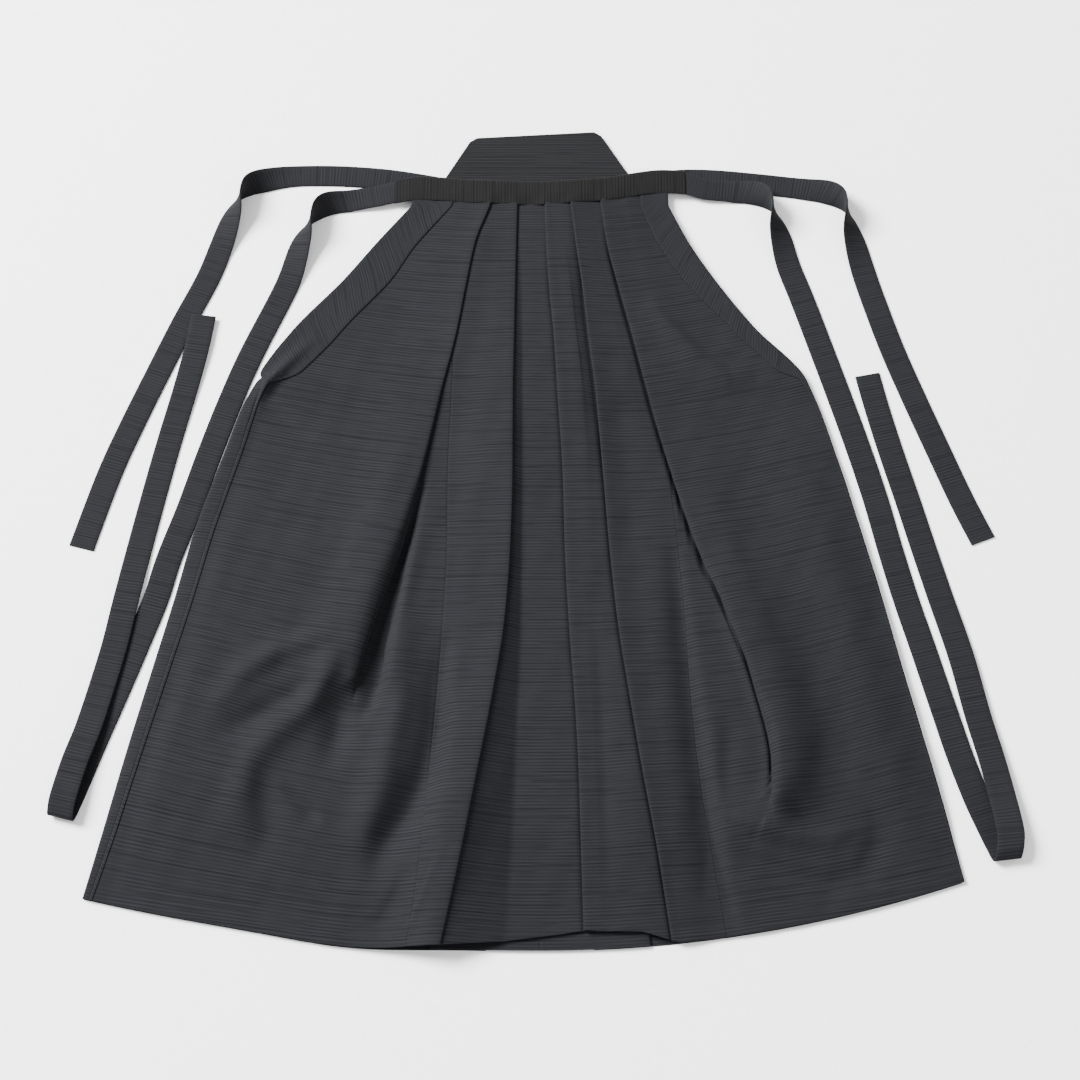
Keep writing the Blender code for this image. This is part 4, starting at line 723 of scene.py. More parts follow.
def inner_right(front):
    section = Section(front)
    half = front.step / 2
    section.add(front.leg_end, 0.0)
    section.groove("d", lambda x: 0.0)
    section.add(front.d_in - front.step, 0.0)
    section.add(front.d_in, 1.0)
    for x in (front.d_in - front.step, mix(front.d, front.d_in, 0.5), front.d + half):
        section.add(x, 2.0)
    section.add(front.d, 2.5)
    before_e = np.minimum(front.d_in, front.e - 0.015)
    for x in (front.d + half, mix(front.d, before_e, 0.5), before_e):
        section.add(x, front.level_de(x))
    section.groove("e", front.level_de)
    for x in (mix(front.e, front.e_in, 0.5), front.e_in - half):
        section.add(x, front.level_de(x))
    section.add(front.e_in, front.level_de(front.e_in) + 0.5)
    for x in (front.e_in - half, mix(front.e, front.e_in, 0.5), front.e + half):
        section.add(x, front.level_de(x) + 1.0)
    section.add(front.e, front.level_de(front.e) + 1.5)
    end = front.g - SEAM_GAP / 2
    before_f = np.minimum(front.f - 0.012, end - 0.018) - 0.004
    for x in (front.e + half, mix(front.e, before_f, 0.25), mix(front.e, before_f, 0.5), before_f):
        section.add(x, front.level_ef(x))
    section.groove("f", front.level_ef, end)
    section.add(end, front.level_ef(end), front.dip(end, "f"))
    return section.rows()


def outer_right(front):
    section = Section(front)
    half = front.step / 2
    start = front.g + SEAM_GAP / 2
    hidden = front.f_in - half
    beside = [front.f - off for off in reversed(GROOVE_STEPS)]
    wanted = [hidden] + beside + [mix(beside[-1], start, 0.5), start]
    places = [np.maximum(x, mix(hidden, start, k / (len(wanted) - 1))) for k, x in enumerate(wanted)]
    strip = list(strip_points(
        front.f, 1.0, places, front.level_ef, front.open_f, lambda x: front.dip(x, "f")))
    edge_lift = LOOSE_EDGE * ease(front.leg, 0.3, 0.6)
    pleat = list(loose_pleat_points(front, front.f, front.f_in, front.level_ef, front.open_f, edge_lift))
    for point in strip[::-1] + pleat[::-1]:
        section.add(*point)
    edge = front.side_right
    inner = front.f_in + front.ease_right
    outer = edge - half

    def level(x):
        return mix(front.level_right(x), front.level_ef(x), front.open_f)

    pleat_x, _, pleat_lift = pleat[0]
    for share in TOWARDS_PLEAT[::-1]:
        x = mix(inner, pleat_x, share)
        section.add(x, level(x), ease(share, 0.0, 1.0) * pleat_lift)
    for share in PANEL_SHARES + (1.0,):
        x = mix(inner, outer, share)
        section.add(x, level(x))
    over = mix(0.75, 0.50, ease(front.leg, 0.28, 0.36))
    section.add(edge, front.level_right(edge) + over / 2)
    turned = follow(TURNED, "right", front.leg)
    for x in (edge - half, edge - mix(half, turned, 0.25), edge - mix(half, turned, 0.6), edge - turned):
        section.add(x, front.level_right(x) + over)
    return section.rows()


print("sections ready")

# %% [markdown]
# The panels are laid on the front's lowest layer here. A few more things make them cloth. The edge
# that is turned over was once flat beyond the edge line, so its stripes lean the other way, like a
# reflection: `turned_down` unfolds it. The outer panels fan out from the pleats, so `slanted_down`
# lets their stripes fall away to the side. The inner panels' hems are drawn up a little, which
# `shortened` works out. Each panel is cut from another place on the roll, so `WEAVE_SHIFT` keeps a
# stripe from running straight through all four. And no pressed cloth is perfectly even, so a very
# low ripple runs through everything.

# %% Build the front panels
STATIONS = 200
TOP_LEG = -0.028
RIPPLE = 0.00012
HEM_RISE = 0.020
WEAVE_SHIFT = {"outer_left_front": 0.0, "inner_left_front": 0.0043, "inner_right_front": 0.0096,
               "outer_right_front": 0.0021}

Wave = namedtuple("Wave", "across down phase")
RIPPLE_WAVES = (
    Wave(31.0, 12.0, 0.3), Wave(-17.0, 43.0, 1.9), Wave(58.0, -23.0, 4.1),
    Wave(73.0, 61.0, 2.6), Wave(-88.0, 37.0, 5.2),
)


def ripple(x, y):
    total = 0.0
    for wave in RIPPLE_WAVES:
        total = total + np.sin(wave.across * x * 2 + wave.down * y * 2 + wave.phase)
    return RIPPLE * total


def turned_down(front, x, down, edge):
    lean = np.abs(np.gradient(edge[:, 0], front.leg[:, 0])) / LEG_LENGTH
    lean = np.interp(np.maximum(front.leg[:, 0], 0.05), front.leg[:, 0], lean)
    angle = np.arctan(lean)[:, None]
    return down - np.abs(x - edge) * np.sin(2.0 * angle)


Slant = namedtuple("Slant", "leg left middle right")
SLANTS = (
    Slant(0.00, 0.10, 0.06, 0.14),
    Slant(0.15, 0.10, 0.06, 0.14),
    Slant(0.30, 0.12, 0.07, 0.13),
    Slant(0.60, 0.11, 0.08, 0.09),
    Slant(0.80, 0.09, 0.08, 0.04),
    Slant(1.00, -0.04, 0.07, -0.07),
)


def slanted_down(front, x, down, name):
    if name == "outer_left_front":
        return down + follow(SLANTS, "left", front.leg) * np.maximum(front.a - x, 0.0)
    if name == "inner_right_front":
        return down + follow(SLANTS, "middle", front.leg) * (np.minimum(x, front.d) - front.d)
    if name == "outer_right_front":
        return down + follow(SLANTS, "right", front.leg) * np.maximum(x - front.f, 0.0)
    return down


def shortened(front, x, name):
    if name.startswith("outer"):
        return 0.0 * x
    share = ramp(x, -0.110, 0.047) - 0.25 * ramp(x, 0.045, 0.110) - 0.75 * ramp(x, 0.110, 0.150)
    return HEM_RISE * share * np.maximum(front.leg, 0.0) ** 5


front = Front(np.linspace(TOP_LEG, 1.0, STATIONS))


def front_panel(name, control, turned_columns=None):
    rows = curve_rows(control)
    x, height = rows[..., 0], rows[..., 1]
    y = front.plan_y(x)
    z = front.floor(x) + height + ripple(x, y) * ease(front.leg, 0.05, 0.25)
    missing = shortened(front, x, name)
    down = slanted_down(front, x, front.leg * LEG_LENGTH - missing, name)
    if turned_columns == "first":
        on_top = np.arange(x.shape[1])[None, :] < np.argmin(x, axis=1)[:, None]
        edge = x.min(axis=1, keepdims=True)
        down = np.where(on_top, turned_down(front, x, down, edge), down)
    if turned_columns == "last":
        on_top = np.arange(x.shape[1])[None, :] > np.argmax(x, axis=1)[:, None]
        edge = x.max(axis=1, keepdims=True)
        down = np.where(on_top, turned_down(front, x, down, edge), down)
    points = np.stack((x, y + missing, z), axis=-1)
    shift = WEAVE_SHIFT[name]
    return shell(name, points, distance_along(points) + 100.0 * shift, down + shift, CLOTH)


front_panel("outer_left_front", outer_left(front), "first")
front_panel("inner_left_front", inner_left(front))
front_panel("inner_right_front", inner_right(front))
front_panel("outer_right_front", outer_right(front), "last")

# %% [markdown]
# ## The back
#
# The back lies flat on the floor with one deep pleat on each side of its middle seam. On the left
# its edge rolls round onto the front below the open side, which shows as a narrow rounded strip.

# %% Sections of the back
BACK_STATIONS = 130
BACK_TOP_LEG = -0.0157
MIDDLE_GAP = SEAM_GAP / 20


def back_half(name, side):
    legs = np.linspace(BACK_TOP_LEG, 1.0, BACK_STATIONS)
    back = Front(legs)
    step = LEVEL_WAIST
    half = step / 2
    pleat, hidden = back.back_pleat, back.back_in
    edge = follow(BACK, "side_left" if side < 0 else "side_right", back.leg)
    control = []

    def add(x, z):
        x, z = np.broadcast_arrays(x + 0.0 * back.leg, z + 0.0 * back.leg)
        control.append(np.stack((x, z), axis=-1)[:, 0])

    over_the_pleat = (
        (MIDDLE_GAP, 2.0), (0.6 * pleat, 2.0), (pleat, 2.0), (hidden - half, 2.0), (hidden, 1.5),
        (hidden - half, 1.0), (mix(pleat, hidden, 0.5), 1.0), (pleat + half, 1.0), (pleat, 0.5),
        (pleat + half, 0.0), (hidden, 0.0), (hidden + 0.03, 0.0),
    )
    for x, level in over_the_pleat:
        add(side * x, GROUND + level * step)
    for share in (0.3, 0.6, 1.0):
        add(side * mix(hidden + 0.03, np.abs(edge) - 0.008, share), GROUND)
    if side > 0:
        add(edge, GROUND)
    else:
        top = mix(GROUND + LEVEL_WAIST, back.floor(edge), ease(back.leg, *BESIDE_SLIT))
        radius = (top - GROUND) / 2
        for turn in (0, 45, 90, 135, 180):
            angle = math.radians(turn)
            add(edge + radius - radius * math.sin(angle), GROUND + radius - radius * math.cos(angle))
        x = edge + np.maximum(back.rolled, radius + 0.001)
        add(x, top + back.soft(x) - back.soft(edge))
    rows = curve_rows(np.stack(control, axis=1))
    x = rows[..., 0]
    points = np.stack((x, back.plan_y(x), np.maximum(rows[..., 1], GROUND)), axis=-1)
    down = np.broadcast_to(back.leg * LEG_LENGTH, x.shape)
    return shell(name, points, distance_along(points), down, CLOTH)


back_half("left_back", -1)
back_half("right_back", 1)

# %% [markdown]
# ## The front band
#
# The band is a doubled strip that grips the upper ends of the pleats. It is one sheet folded over
# their top edge: up the front, over, and down behind, where it sits on the back board. It follows
# the pile of pleats below, which shows as faint upright steps. `laid_over` takes the tallest part
# of the pile under each short stretch and smooths it, as stiff cloth bridges a gap. At its lower
# edge the band bridges less, so it follows the pleats more closely there.

# %% The band
BAND_TOP = 0.034
BAND_CLOTH = 0.0010
BAND_REACH = 0.180
BAND_END_THICK = 0.0030
BAND_COLUMNS = 181

Edge = namedtuple("Edge", "x y")
BAND_EDGE = (
    Edge(-0.180, 0.0035), Edge(-0.150, 0.0080), Edge(-0.075, 0.0020), Edge(0.0, 0.0000),
    Edge(0.075, 0.0050), Edge(0.156, 0.0180), Edge(0.180, 0.0170),
)


def top_of_pleats(front, x):
    level = np.where(x < front.c, front.level_ac(x), front.level_cd(x))
    level = np.where(x < front.a, front.level_left(x), level)
    level = np.where((x >= front.d) & (x < front.e), front.level_de(x), level)
    level = np.where((x >= front.e) & (x < front.f), front.level_ef(x), level)
    level = np.where(x >= front.f, front.level_right(x), level)
    turned = (x < front.side_left + 0.052) | (x > front.side_right - 0.040)
    return front.lowest(x) + (level + turned) * front.step


def band():
    x = np.linspace(-BAND_REACH, BAND_REACH, BAND_COLUMNS)
    at_waist = Front((TOP_LEG, 0.0, 0.02))
    pile = top_of_pleats(at_waist, x[None, :]).max(axis=0)

    def laid_over(reach, soften):
        ends = np.pad(pile, reach, mode="edge")
        tallest = np.max([ends[i:i + len(x)] for i in range(2 * reach + 1)], axis=0)
        even = np.ones(2 * soften + 1) / (2 * soften + 1)
        smooth = np.convolve(np.pad(tallest, soften, mode="edge"), even, "valid")
        over = smooth + CLOTH / 2 + BAND_CLOTH / 2 + SEAM_GAP
        near_end = ease(np.abs(x), BAND_REACH - 0.020, BAND_REACH - 0.004)
        return mix(over, BAND_INSIDE + BAND_END_THICK, near_end)

    height = laid_over(12, 6)
    at_edge = laid_over(3, 3)
    low = follow(BAND_EDGE, "y", x)
    high = low + BAND_TOP
    bend = (height - BAND_INSIDE) / 2
    rows, down = [], []
    for share in np.linspace(0.0, 1.0, 12):
        edge_dip = 0.0005 * math.exp(-(share / 0.09) ** 2)
        rows.append((mix(low, high - bend, share), mix(at_edge, height, ease(share, 0.0, 0.6)) - edge_dip))
    for turn in (60, 30, 0, -30, -60):
        rows.append((high - bend + bend * math.cos(math.radians(turn)),
                     BAND_INSIDE + bend + bend * math.sin(math.radians(turn))))
    for share in (1.0, 0.66, 0.33, 0.0):
        rows.append((mix(low + 0.002, high - bend, share), 0.0 * x + BAND_INSIDE))
    points = np.stack([np.stack((x, y, z), axis=-1) for y, z in rows], axis=0)
    across = np.concatenate((np.zeros((1, len(x))),
                             np.cumsum(np.linalg.norm(np.diff(points, axis=0), axis=2), axis=0)), axis=0)
    down = np.broadcast_to(x, across.shape)
    shell("waist_band", points, across, down, BAND_CLOTH)


band()

# %% [markdown]
# ## Ties
#
# A tie is a strip folded into a flat tube about 3 cm wide. Each one leaves the waist flat, turns
# over once where it bends down, and lies along the leg; the front pair is also laid back on itself
# at the end. A tie is given by its middle line, with a height where it is lifted and the angle by
# which it has rolled. A rounded flat profile is then swept along that line.

# %% Middle lines of the ties
TIE_WIDTH = 0.030
TIE_THICK = 0.0022
FLOOR_GAP = 0.00002

Way = namedtuple("Way", "x y height roll turned")
FRONT_TIE_LEFT = (
    Way(-0.1805, 0.0205, 0.0076, 0, 0), Way(-0.200, 0.0160, 0.0062, 0, 0),
    Way(-0.232, 0.0110, 0.0036, 6, 0), Way(-0.260, 0.0030, 0.0070, 34, 0),
    Way(-0.280, -0.020, 0.0150, 92, 0), Way(-0.292, -0.050, 0.0090, 148, 0),
    Way(-0.304, -0.098, 0.0020, 176, 0), Way(-0.317, -0.134, 0.0011, 180, 0),
    Way(-0.347, -0.208, 0.0011, 180, 0), Way(-0.3695, -0.275, 0.0011, 180, 0),
    Way(-0.390, -0.345, 0.0011, 180, 0), Way(-0.408, -0.412, 0.0011, 180, 0),
    Way(-0.427, -0.475, 0.0011, 180, 0), Way(-0.439, -0.527, 0.0011, 180, 0),
    Way(-0.457, -0.585, 0.0011, 180, 0), Way(-0.475, -0.640, 0.0011, 180, 0),
    Way(-0.494, -0.696, 0.0011, 180, 0), Way(-0.510, -0.746, 0.0011, 180, 0),
    Way(-0.519, -0.773, 0.0014, 180, 0), Way(-0.5230, -0.7850, 0.0035, 180, 0),
    Way(-0.5240, -0.7885, 0.0080, 180, 0), Way(-0.5235, -0.7840, 0.0126, 180, 1),
    Way(-0.5215, -0.7670, 0.0145, 180, 1), Way(-0.5130, -0.725, 0.0112, 180, 1),
    Way(-0.502, -0.685, 0.0080, 180, 1), Way(-0.492, -0.639, 0.0052, 180, 1),
    Way(-0.481, -0.585, 0.0044, 180, 1), Way(-0.472, -0.527, 0.0042, 180, 1),
    Way(-0.462, -0.464, 0.0016, 180, 1), Way(-0.450, -0.395, 0.0011, 180, 1),
    Way(-0.437, -0.325, 0.0011, 180, 1), Way(-0.423, -0.258, 0.0022, 180, 1),
    Way(-0.412, -0.200, 0.0044, 180, 1), Way(-0.406, -0.154, 0.0046, 180, 1),
)
FRONT_TIE_RIGHT = (
    Way(0.1805, 0.0340, 0.0076, 0, 0), Way(0.204, 0.0260, 0.0062, 0, 0),
    Way(0.236, 0.0240, 0.0040, -4, 0), Way(0.266, 0.0180, 0.0070, -34, 0),
    Way(0.286, -0.003, 0.0150, -92, 0), Way(0.294, -0.036, 0.0090, -148, 0),
    Way(0.303, -0.080, 0.0020, -176, 0), Way(0.318, -0.129, 0.0011, -180, 0),
    Way(0.338, -0.199, 0.0011, -180, 0), Way(0.357, -0.267, 0.0011, -180, 0),
    Way(0.375, -0.334, 0.0011, -180, 0), Way(0.391, -0.400, 0.0011, -180, 0),
    Way(0.404, -0.464, 0.0011, -180, 0), Way(0.418, -0.527, 0.0011, -180, 0),
    Way(0.434, -0.590, 0.0011, -180, 0), Way(0.450, -0.655, 0.0011, -180, 0),
    Way(0.465, -0.715, 0.0011, -180, 0), Way(0.480, -0.765, 0.0011, -180, 0),
    Way(0.494, -0.803, 0.0011, -180, 0), Way(0.5010, -0.8220, 0.0018, -180, 0),
    Way(0.5045, -0.8318, 0.0038, -180, 0), Way(0.5065, -0.8362, 0.0080, -180, 0),
    Way(0.5082, -0.8322, 0.0124, -180, 1), Way(0.5102, -0.8225, 0.0145, -180, 1),
    Way(0.5115, -0.8060, 0.0140, -180, 1), Way(0.508, -0.775, 0.0108, -180, 1),
    Way(0.499, -0.720, 0.0062, -180, 1), Way(0.488, -0.668, 0.0046, -180, 1),
    Way(0.475, -0.597, 0.0034, -180, 1), Way(0.457, -0.522, 0.0011, -180, 1),
    Way(0.443, -0.464, 0.0011, -180, 1), Way(0.428, -0.400, 0.0011, -180, 1),
    Way(0.412, -0.334, 0.0011, -180, 1), Way(0.400, -0.280, 0.0011, -180, 1),
    Way(0.391, -0.234, 0.0011, -180, 1),
)
BACK_TIE_LEFT = (
    Way(-0.126, 0.0310, 0.0025, 0, 0), Way(-0.180, 0.042, 0.0013, 0, 0),
    Way(-0.224, 0.047, 0.0011, 0, 0), Way(-0.270, 0.049, 0.0011, 0, 0),
    Way(-0.312, 0.047, 0.0016, 4, 0), Way(-0.346, 0.036, 0.0070, 32, 0),
    Way(-0.368, 0.016, 0.0150, 92, 0), Way(-0.379, -0.012, 0.0090, 146, 0),
    Way(-0.391, -0.055, 0.0020, 176, 0), Way(-0.405, -0.101, 0.0011, 180, 0),
    Way(-0.431, -0.164, 0.0011, 180, 0), Way(-0.457, -0.233, 0.0011, 180, 0),
    Way(-0.482, -0.301, 0.0011, 180, 0), Way(-0.504, -0.367, 0.0011, 180, 0),
    Way(-0.529, -0.462, 0.0011, 180, 0),
)
BACK_TIE_RIGHT = (
    Way(0.122, 0.0310, 0.0025, 0, 0), Way(0.165, 0.042, 0.0013, 0, 0),
    Way(0.210, 0.043, 0.0011, 0, 0), Way(0.270, 0.037, 0.0011, 0, 0),
    Way(0.325, 0.029, 0.0016, -4, 0), Way(0.357, 0.019, 0.0070, -34, 0),
    Way(0.377, -0.004, 0.0150, -92, 0), Way(0.384, -0.040, 0.0090, -148, 0),
    Way(0.393, -0.083, 0.0020, -176, 0), Way(0.404, -0.129, 0.0011, -180, 0),
    Way(0.423, -0.199, 0.0011, -180, 0), Way(0.445, -0.267, 0.0011, -180, 0),
    Way(0.468, -0.334, 0.0011, -180, 0), Way(0.491, -0.400, 0.0011, -180, 0),
    Way(0.512, -0.453, 0.0011, -180, 0),
)
print("tie rows:", [len(rows) for rows in (FRONT_TIE_LEFT, FRONT_TIE_RIGHT, BACK_TIE_LEFT, BACK_TIE_RIGHT)])

# %% [markdown]
# The tie's width direction has to be found at every row. It is square to the tie's own way, read
# between the rows a little before and after, and near the place where a tie is laid back it lies
# along that fold. Along the way the direction, the roll and the height are blended by the same
# spline as the place, so the tie turns over smoothly.

# %% Sweep a flat profile along a way
TIE_REACH = 0.020
TIE_FOLD = 0.012
TIE_UNTWISTS = 0.050
TIE_STEPS = 8
TIE_ROUND = 5


def width_direction(rows, i):
    def far(k):
        return math.hypot(rows[k].x - rows[i].x, rows[k].y - rows[i].y) > TIE_REACH

    first = last = i
    while first > 0 and rows[first - 1].turned == rows[i].turned and not far(first):
        first -= 1
    while last < len(rows) - 1 and rows[last + 1].turned == rows[i].turned and not far(last):
        last += 1
    along = Vector((rows[last].x - rows[first].x, rows[last].y - rows[first].y, 0.0)).normalized()
    across = along.cross(Vector((0.0, 0.0, 1.0)))
    return -across if rows[i].turned else across


def smooth_way(rows):
    sides = [width_direction(rows, i) for i in range(len(rows))]
    turned = [i for i in range(len(rows)) if rows[i].turned]
    if turned:
        turn = rows[turned[0]]
        fold = (sides[turned[0] - 1] + sides[turned[0]]).normalized()
        for i, row in enumerate(rows):
            off = math.hypot(row.x - turn.x, row.y - turn.y)
            sides[i] = fold.lerp(sides[i], float(ramp(off, TIE_FOLD, TIE_UNTWISTS))).normalized()
    values = np.array([(r.x, r.y, r.height, r.roll) + tuple(sides[i]) for i, r in enumerate(rows)])
    ahead = np.concatenate((values[:1], values, values[-1:]))
    smooth = []
    for i in range(len(rows) - 1):
        p0, p1, p2, p3 = ahead[i:i + 4]
        for t in np.arange(TIE_STEPS) / TIE_STEPS:
            smooth.append(0.5 * (2 * p1 + (p2 - p0) * t + (2 * p0 - 5 * p1 + 4 * p2 - p3) * t * t
                                 + (3 * p1 - p0 - 3 * p2 + p3) * t ** 3))
    smooth.append(values[-1])
    return np.array(smooth)


def flat_profile(width, thick):
    radius = thick / 2
    ring = []
    for side, turns in ((1, np.linspace(-90, 90, TIE_ROUND)), (-1, np.linspace(90, 270, TIE_ROUND))):
        for turn in turns:
            angle = math.radians(turn)
            ring.append((side * (width / 2 - radius) + radius * math.cos(angle), radius * math.sin(angle)))
        for share in (0.2, 0.4, 0.6, 0.8):
            ring.append((side * (width / 2 - radius) * (1 - 2 * share), side * radius * 0.86))
    return np.array(ring)


def tie(name, rows, root):
    way = smooth_way(rows)
    roll = np.radians(way[:, 3])
    side = way[:, 4:7] / np.linalg.norm(way[:, 4:7], axis=1, keepdims=True)
    up = np.array((0.0, 0.0, 1.0))
    across = side * np.cos(roll)[:, None] + up * np.sin(roll)[:, None]
    centre = way[:, :3].copy()
    lowest = TIE_WIDTH / 2 * np.abs(np.sin(roll)) + TIE_THICK / 2 * np.abs(np.cos(roll))
    centre[:, 2] = np.maximum(centre[:, 2], lowest + FLOOR_GAP)
    centre[0] = (root[0] + root[1]) / 2
    across[0] = (root[1] - root[0]) / np.linalg.norm(root[1] - root[0])
    if np.dot(across[0], across[1]) < 0.0:
        across[0] = -across[0]
    along = np.gradient(centre, axis=0)
    out = np.cross(along, across)
    out /= np.linalg.norm(out, axis=1, keepdims=True)
    length = np.concatenate(([0.0], np.cumsum(np.linalg.norm(np.diff(centre, axis=0), axis=1))))
    ring = flat_profile(TIE_WIDTH, TIE_THICK)
    points = centre[:, None] + across[:, None] * ring[None, :, :1] + out[:, None] * ring[None, :, 1:]
    rows_count, around = points.shape[:2]
    faces = []
    for i in range(rows_count - 1):
        for j in range(around):
            k = (j + 1) % around
            faces.append((i * around + j, i * around + k, (i + 1) * around + k, (i + 1) * around + j))
    faces.append(tuple(range(around))[::-1])
    faces.append(tuple((rows_count - 1) * around + j for j in range(around)))
    across_uv = np.broadcast_to(ring[None, :, 0], points.shape[:2])
    down_uv = np.broadcast_to(length[:, None], points.shape[:2])
    cloth_uv = np.stack((across_uv.ravel(), down_uv.ravel()), axis=1)
    new_piece(name, points.reshape(-1, 3), faces, cloth_uv)
    print(f"{name}: {length[-1]:.3f} m long")
    return length[-1]


# %% [markdown]
# Where a tie begins it is sewn on. The front ties grow out of the band's ends, so their first row
# stands where the band stops. The back ties are sewn to the slanting sides of the board.

# %% Make the four ties
BOARD_THICK = 0.0050
BOARD_OUTLINE = (
    (-0.134, BOARD_BASE_Y), (0.130, BOARD_BASE_Y), (0.077, 0.107),
    (0.068, 0.113), (-0.079, 0.104), (-0.088, 0.098),
)


def band_end(side):
    x = side * (BAND_REACH + SEAM_GAP)
    low = float(follow(BAND_EDGE, "y", np.array(x))) + (BAND_TOP - TIE_WIDTH) / 2
    return [np.array((x, low + reach, BAND_INSIDE + BAND_END_THICK / 2)) for reach in (0.0, TIE_WIDTH)]


def board_side(base, top):
    along = Vector((top[0] - base[0], top[1] - base[1], 0.0)).normalized()
    out = along.cross(Vector((0.0, 0.0, 1.0)))
    if out.x * base[0] < 0.0:
        out = -out
    start = Vector((base[0], base[1], BOARD_THICK / 2)) + out * SEAM_GAP
    return [np.array(start + along * reach) for reach in (0.001, 0.001 + TIE_WIDTH)]


tie_lengths = {
    "left_front_tie": tie("left_front_tie", FRONT_TIE_LEFT, band_end(-1)),
    "right_front_tie": tie("right_front_tie", FRONT_TIE_RIGHT, band_end(1)),
    "left_back_tie": tie("left_back_tie", BACK_TIE_LEFT, board_side(BOARD_OUTLINE[0], BOARD_OUTLINE[5])),
    "right_back_tie": tie("right_back_tie", BACK_TIE_RIGHT, board_side(BOARD_OUTLINE[1], BOARD_OUTLINE[2])),
}

# %% [markdown]
# ## The back board
#
# The board is a stiff core covered with the same cloth, so it has soft rounded edges but no
# folds. An outline filled as one face, extruded and bevelled, gives just that.

# %% The board
BOARD_ROUND = 0.0019


def board():
    outline = np.array(BOARD_OUTLINE)
    count = len(outline)
    low = np.concatenate((outline, np.zeros((count, 1))), axis=1)
    high = low + np.array((0.0, 0.0, BOARD_THICK))
    faces = [tuple(range(count))[::-1], tuple(range(count, 2 * count))]
    faces += [(i, (i + 1) % count, count + (i + 1) % count, count + i) for i in range(count)]
    points = np.concatenate((low, high))
    piece = new_piece("covered_board", points, faces, np.stack((points[:, 0], -points[:, 1]), axis=1))
    rounding = piece.modifiers.new("rounding", "BEVEL")
    rounding.width = BOARD_ROUND
    rounding.segments = 4
    rounding.limit_method = "ANGLE"


board()

# %% [markdown]
# ## Shader maths in plain Python
#
# A material is a graph of small nodes. Written out, even `1 - mask * 0.5` takes six lines. The
# class below wraps one socket, so that adding or multiplying two of them makes the Math node and
# links it. `node` makes any other kind of node from its type, its settings and its inputs.

# %% Wrap a socket
class Wire:
    def __init__(self, tree, socket):
        self.tree = tree
        self.socket = socket

    def node(self, kind, settings=None, inputs=None, output=0):
        return make_node(self.tree, kind, settings, inputs, output)

    def math(self, operation, *others):
        return self.node("ShaderNodeMath", {"operation": operation}, dict(enumerate((self,) + others)))

    def __add__(self, other):
        return self.math("ADD", other)

    def __radd__(self, other):
        return self + other

    def __sub__(self, other):
        return self.math("SUBTRACT", other)

    def __rsub__(self, other):
        return self * -1.0 + other

    def __mul__(self, other):
        return self.math("MULTIPLY", other)

    def __rmul__(self, other):
        return self * other

    def __truediv__(self, other):
        return self.math("DIVIDE", other)


def make_node(tree, kind, settings=None, inputs=None, output=0):
    made_node = tree.nodes.new(kind)
    for name, value in (settings or {}).items():
        if name == "stops":
            ramp_stops = made_node.color_ramp.elements
            while len(ramp_stops) < len(value):
                ramp_stops.new(0.5)
            for stop, (position, colour) in zip(ramp_stops, value):
                stop.position = position
                stop.color = colour
        else:
            setattr(made_node, name, value)
    for name, value in (inputs or {}).items():
        if isinstance(value, Wire):
            tree.links.new(value.socket, made_node.inputs[name])
        else:
            made_node.inputs[name].default_value = value
    return Wire(tree, made_node.outputs[output])


print("wires ready")

# %% [markdown]
# ## The cloth
#
# The cloth is woven in very dark threads with a fine, uneven stripe across its width: some threads
# are nearly black, some a lighter blue grey, and none runs at full strength all the way. Three
# things are laid over each other: low ribs, single threads, and thin dark lines that start and
# stop. Noise that is stretched along the thread makes each of them uneven. The same values lift
# the bump, so the stripes are felt as well as seen.

# %% Stripe cloth material
RIB_PITCH = 0.0038
THREAD_PITCH = 0.0007
LINE_WIDTH = 0.0013
DARK = (0.0038, 0.0039, 0.0046)
GROUND_TONE = (0.0088, 0.0090, 0.0103)
LIGHT = (0.0142, 0.0146, 0.0168)


def tinted(colour, tint):
    return tuple(c * t for c, t in zip(colour, tint)) + (1.0,)


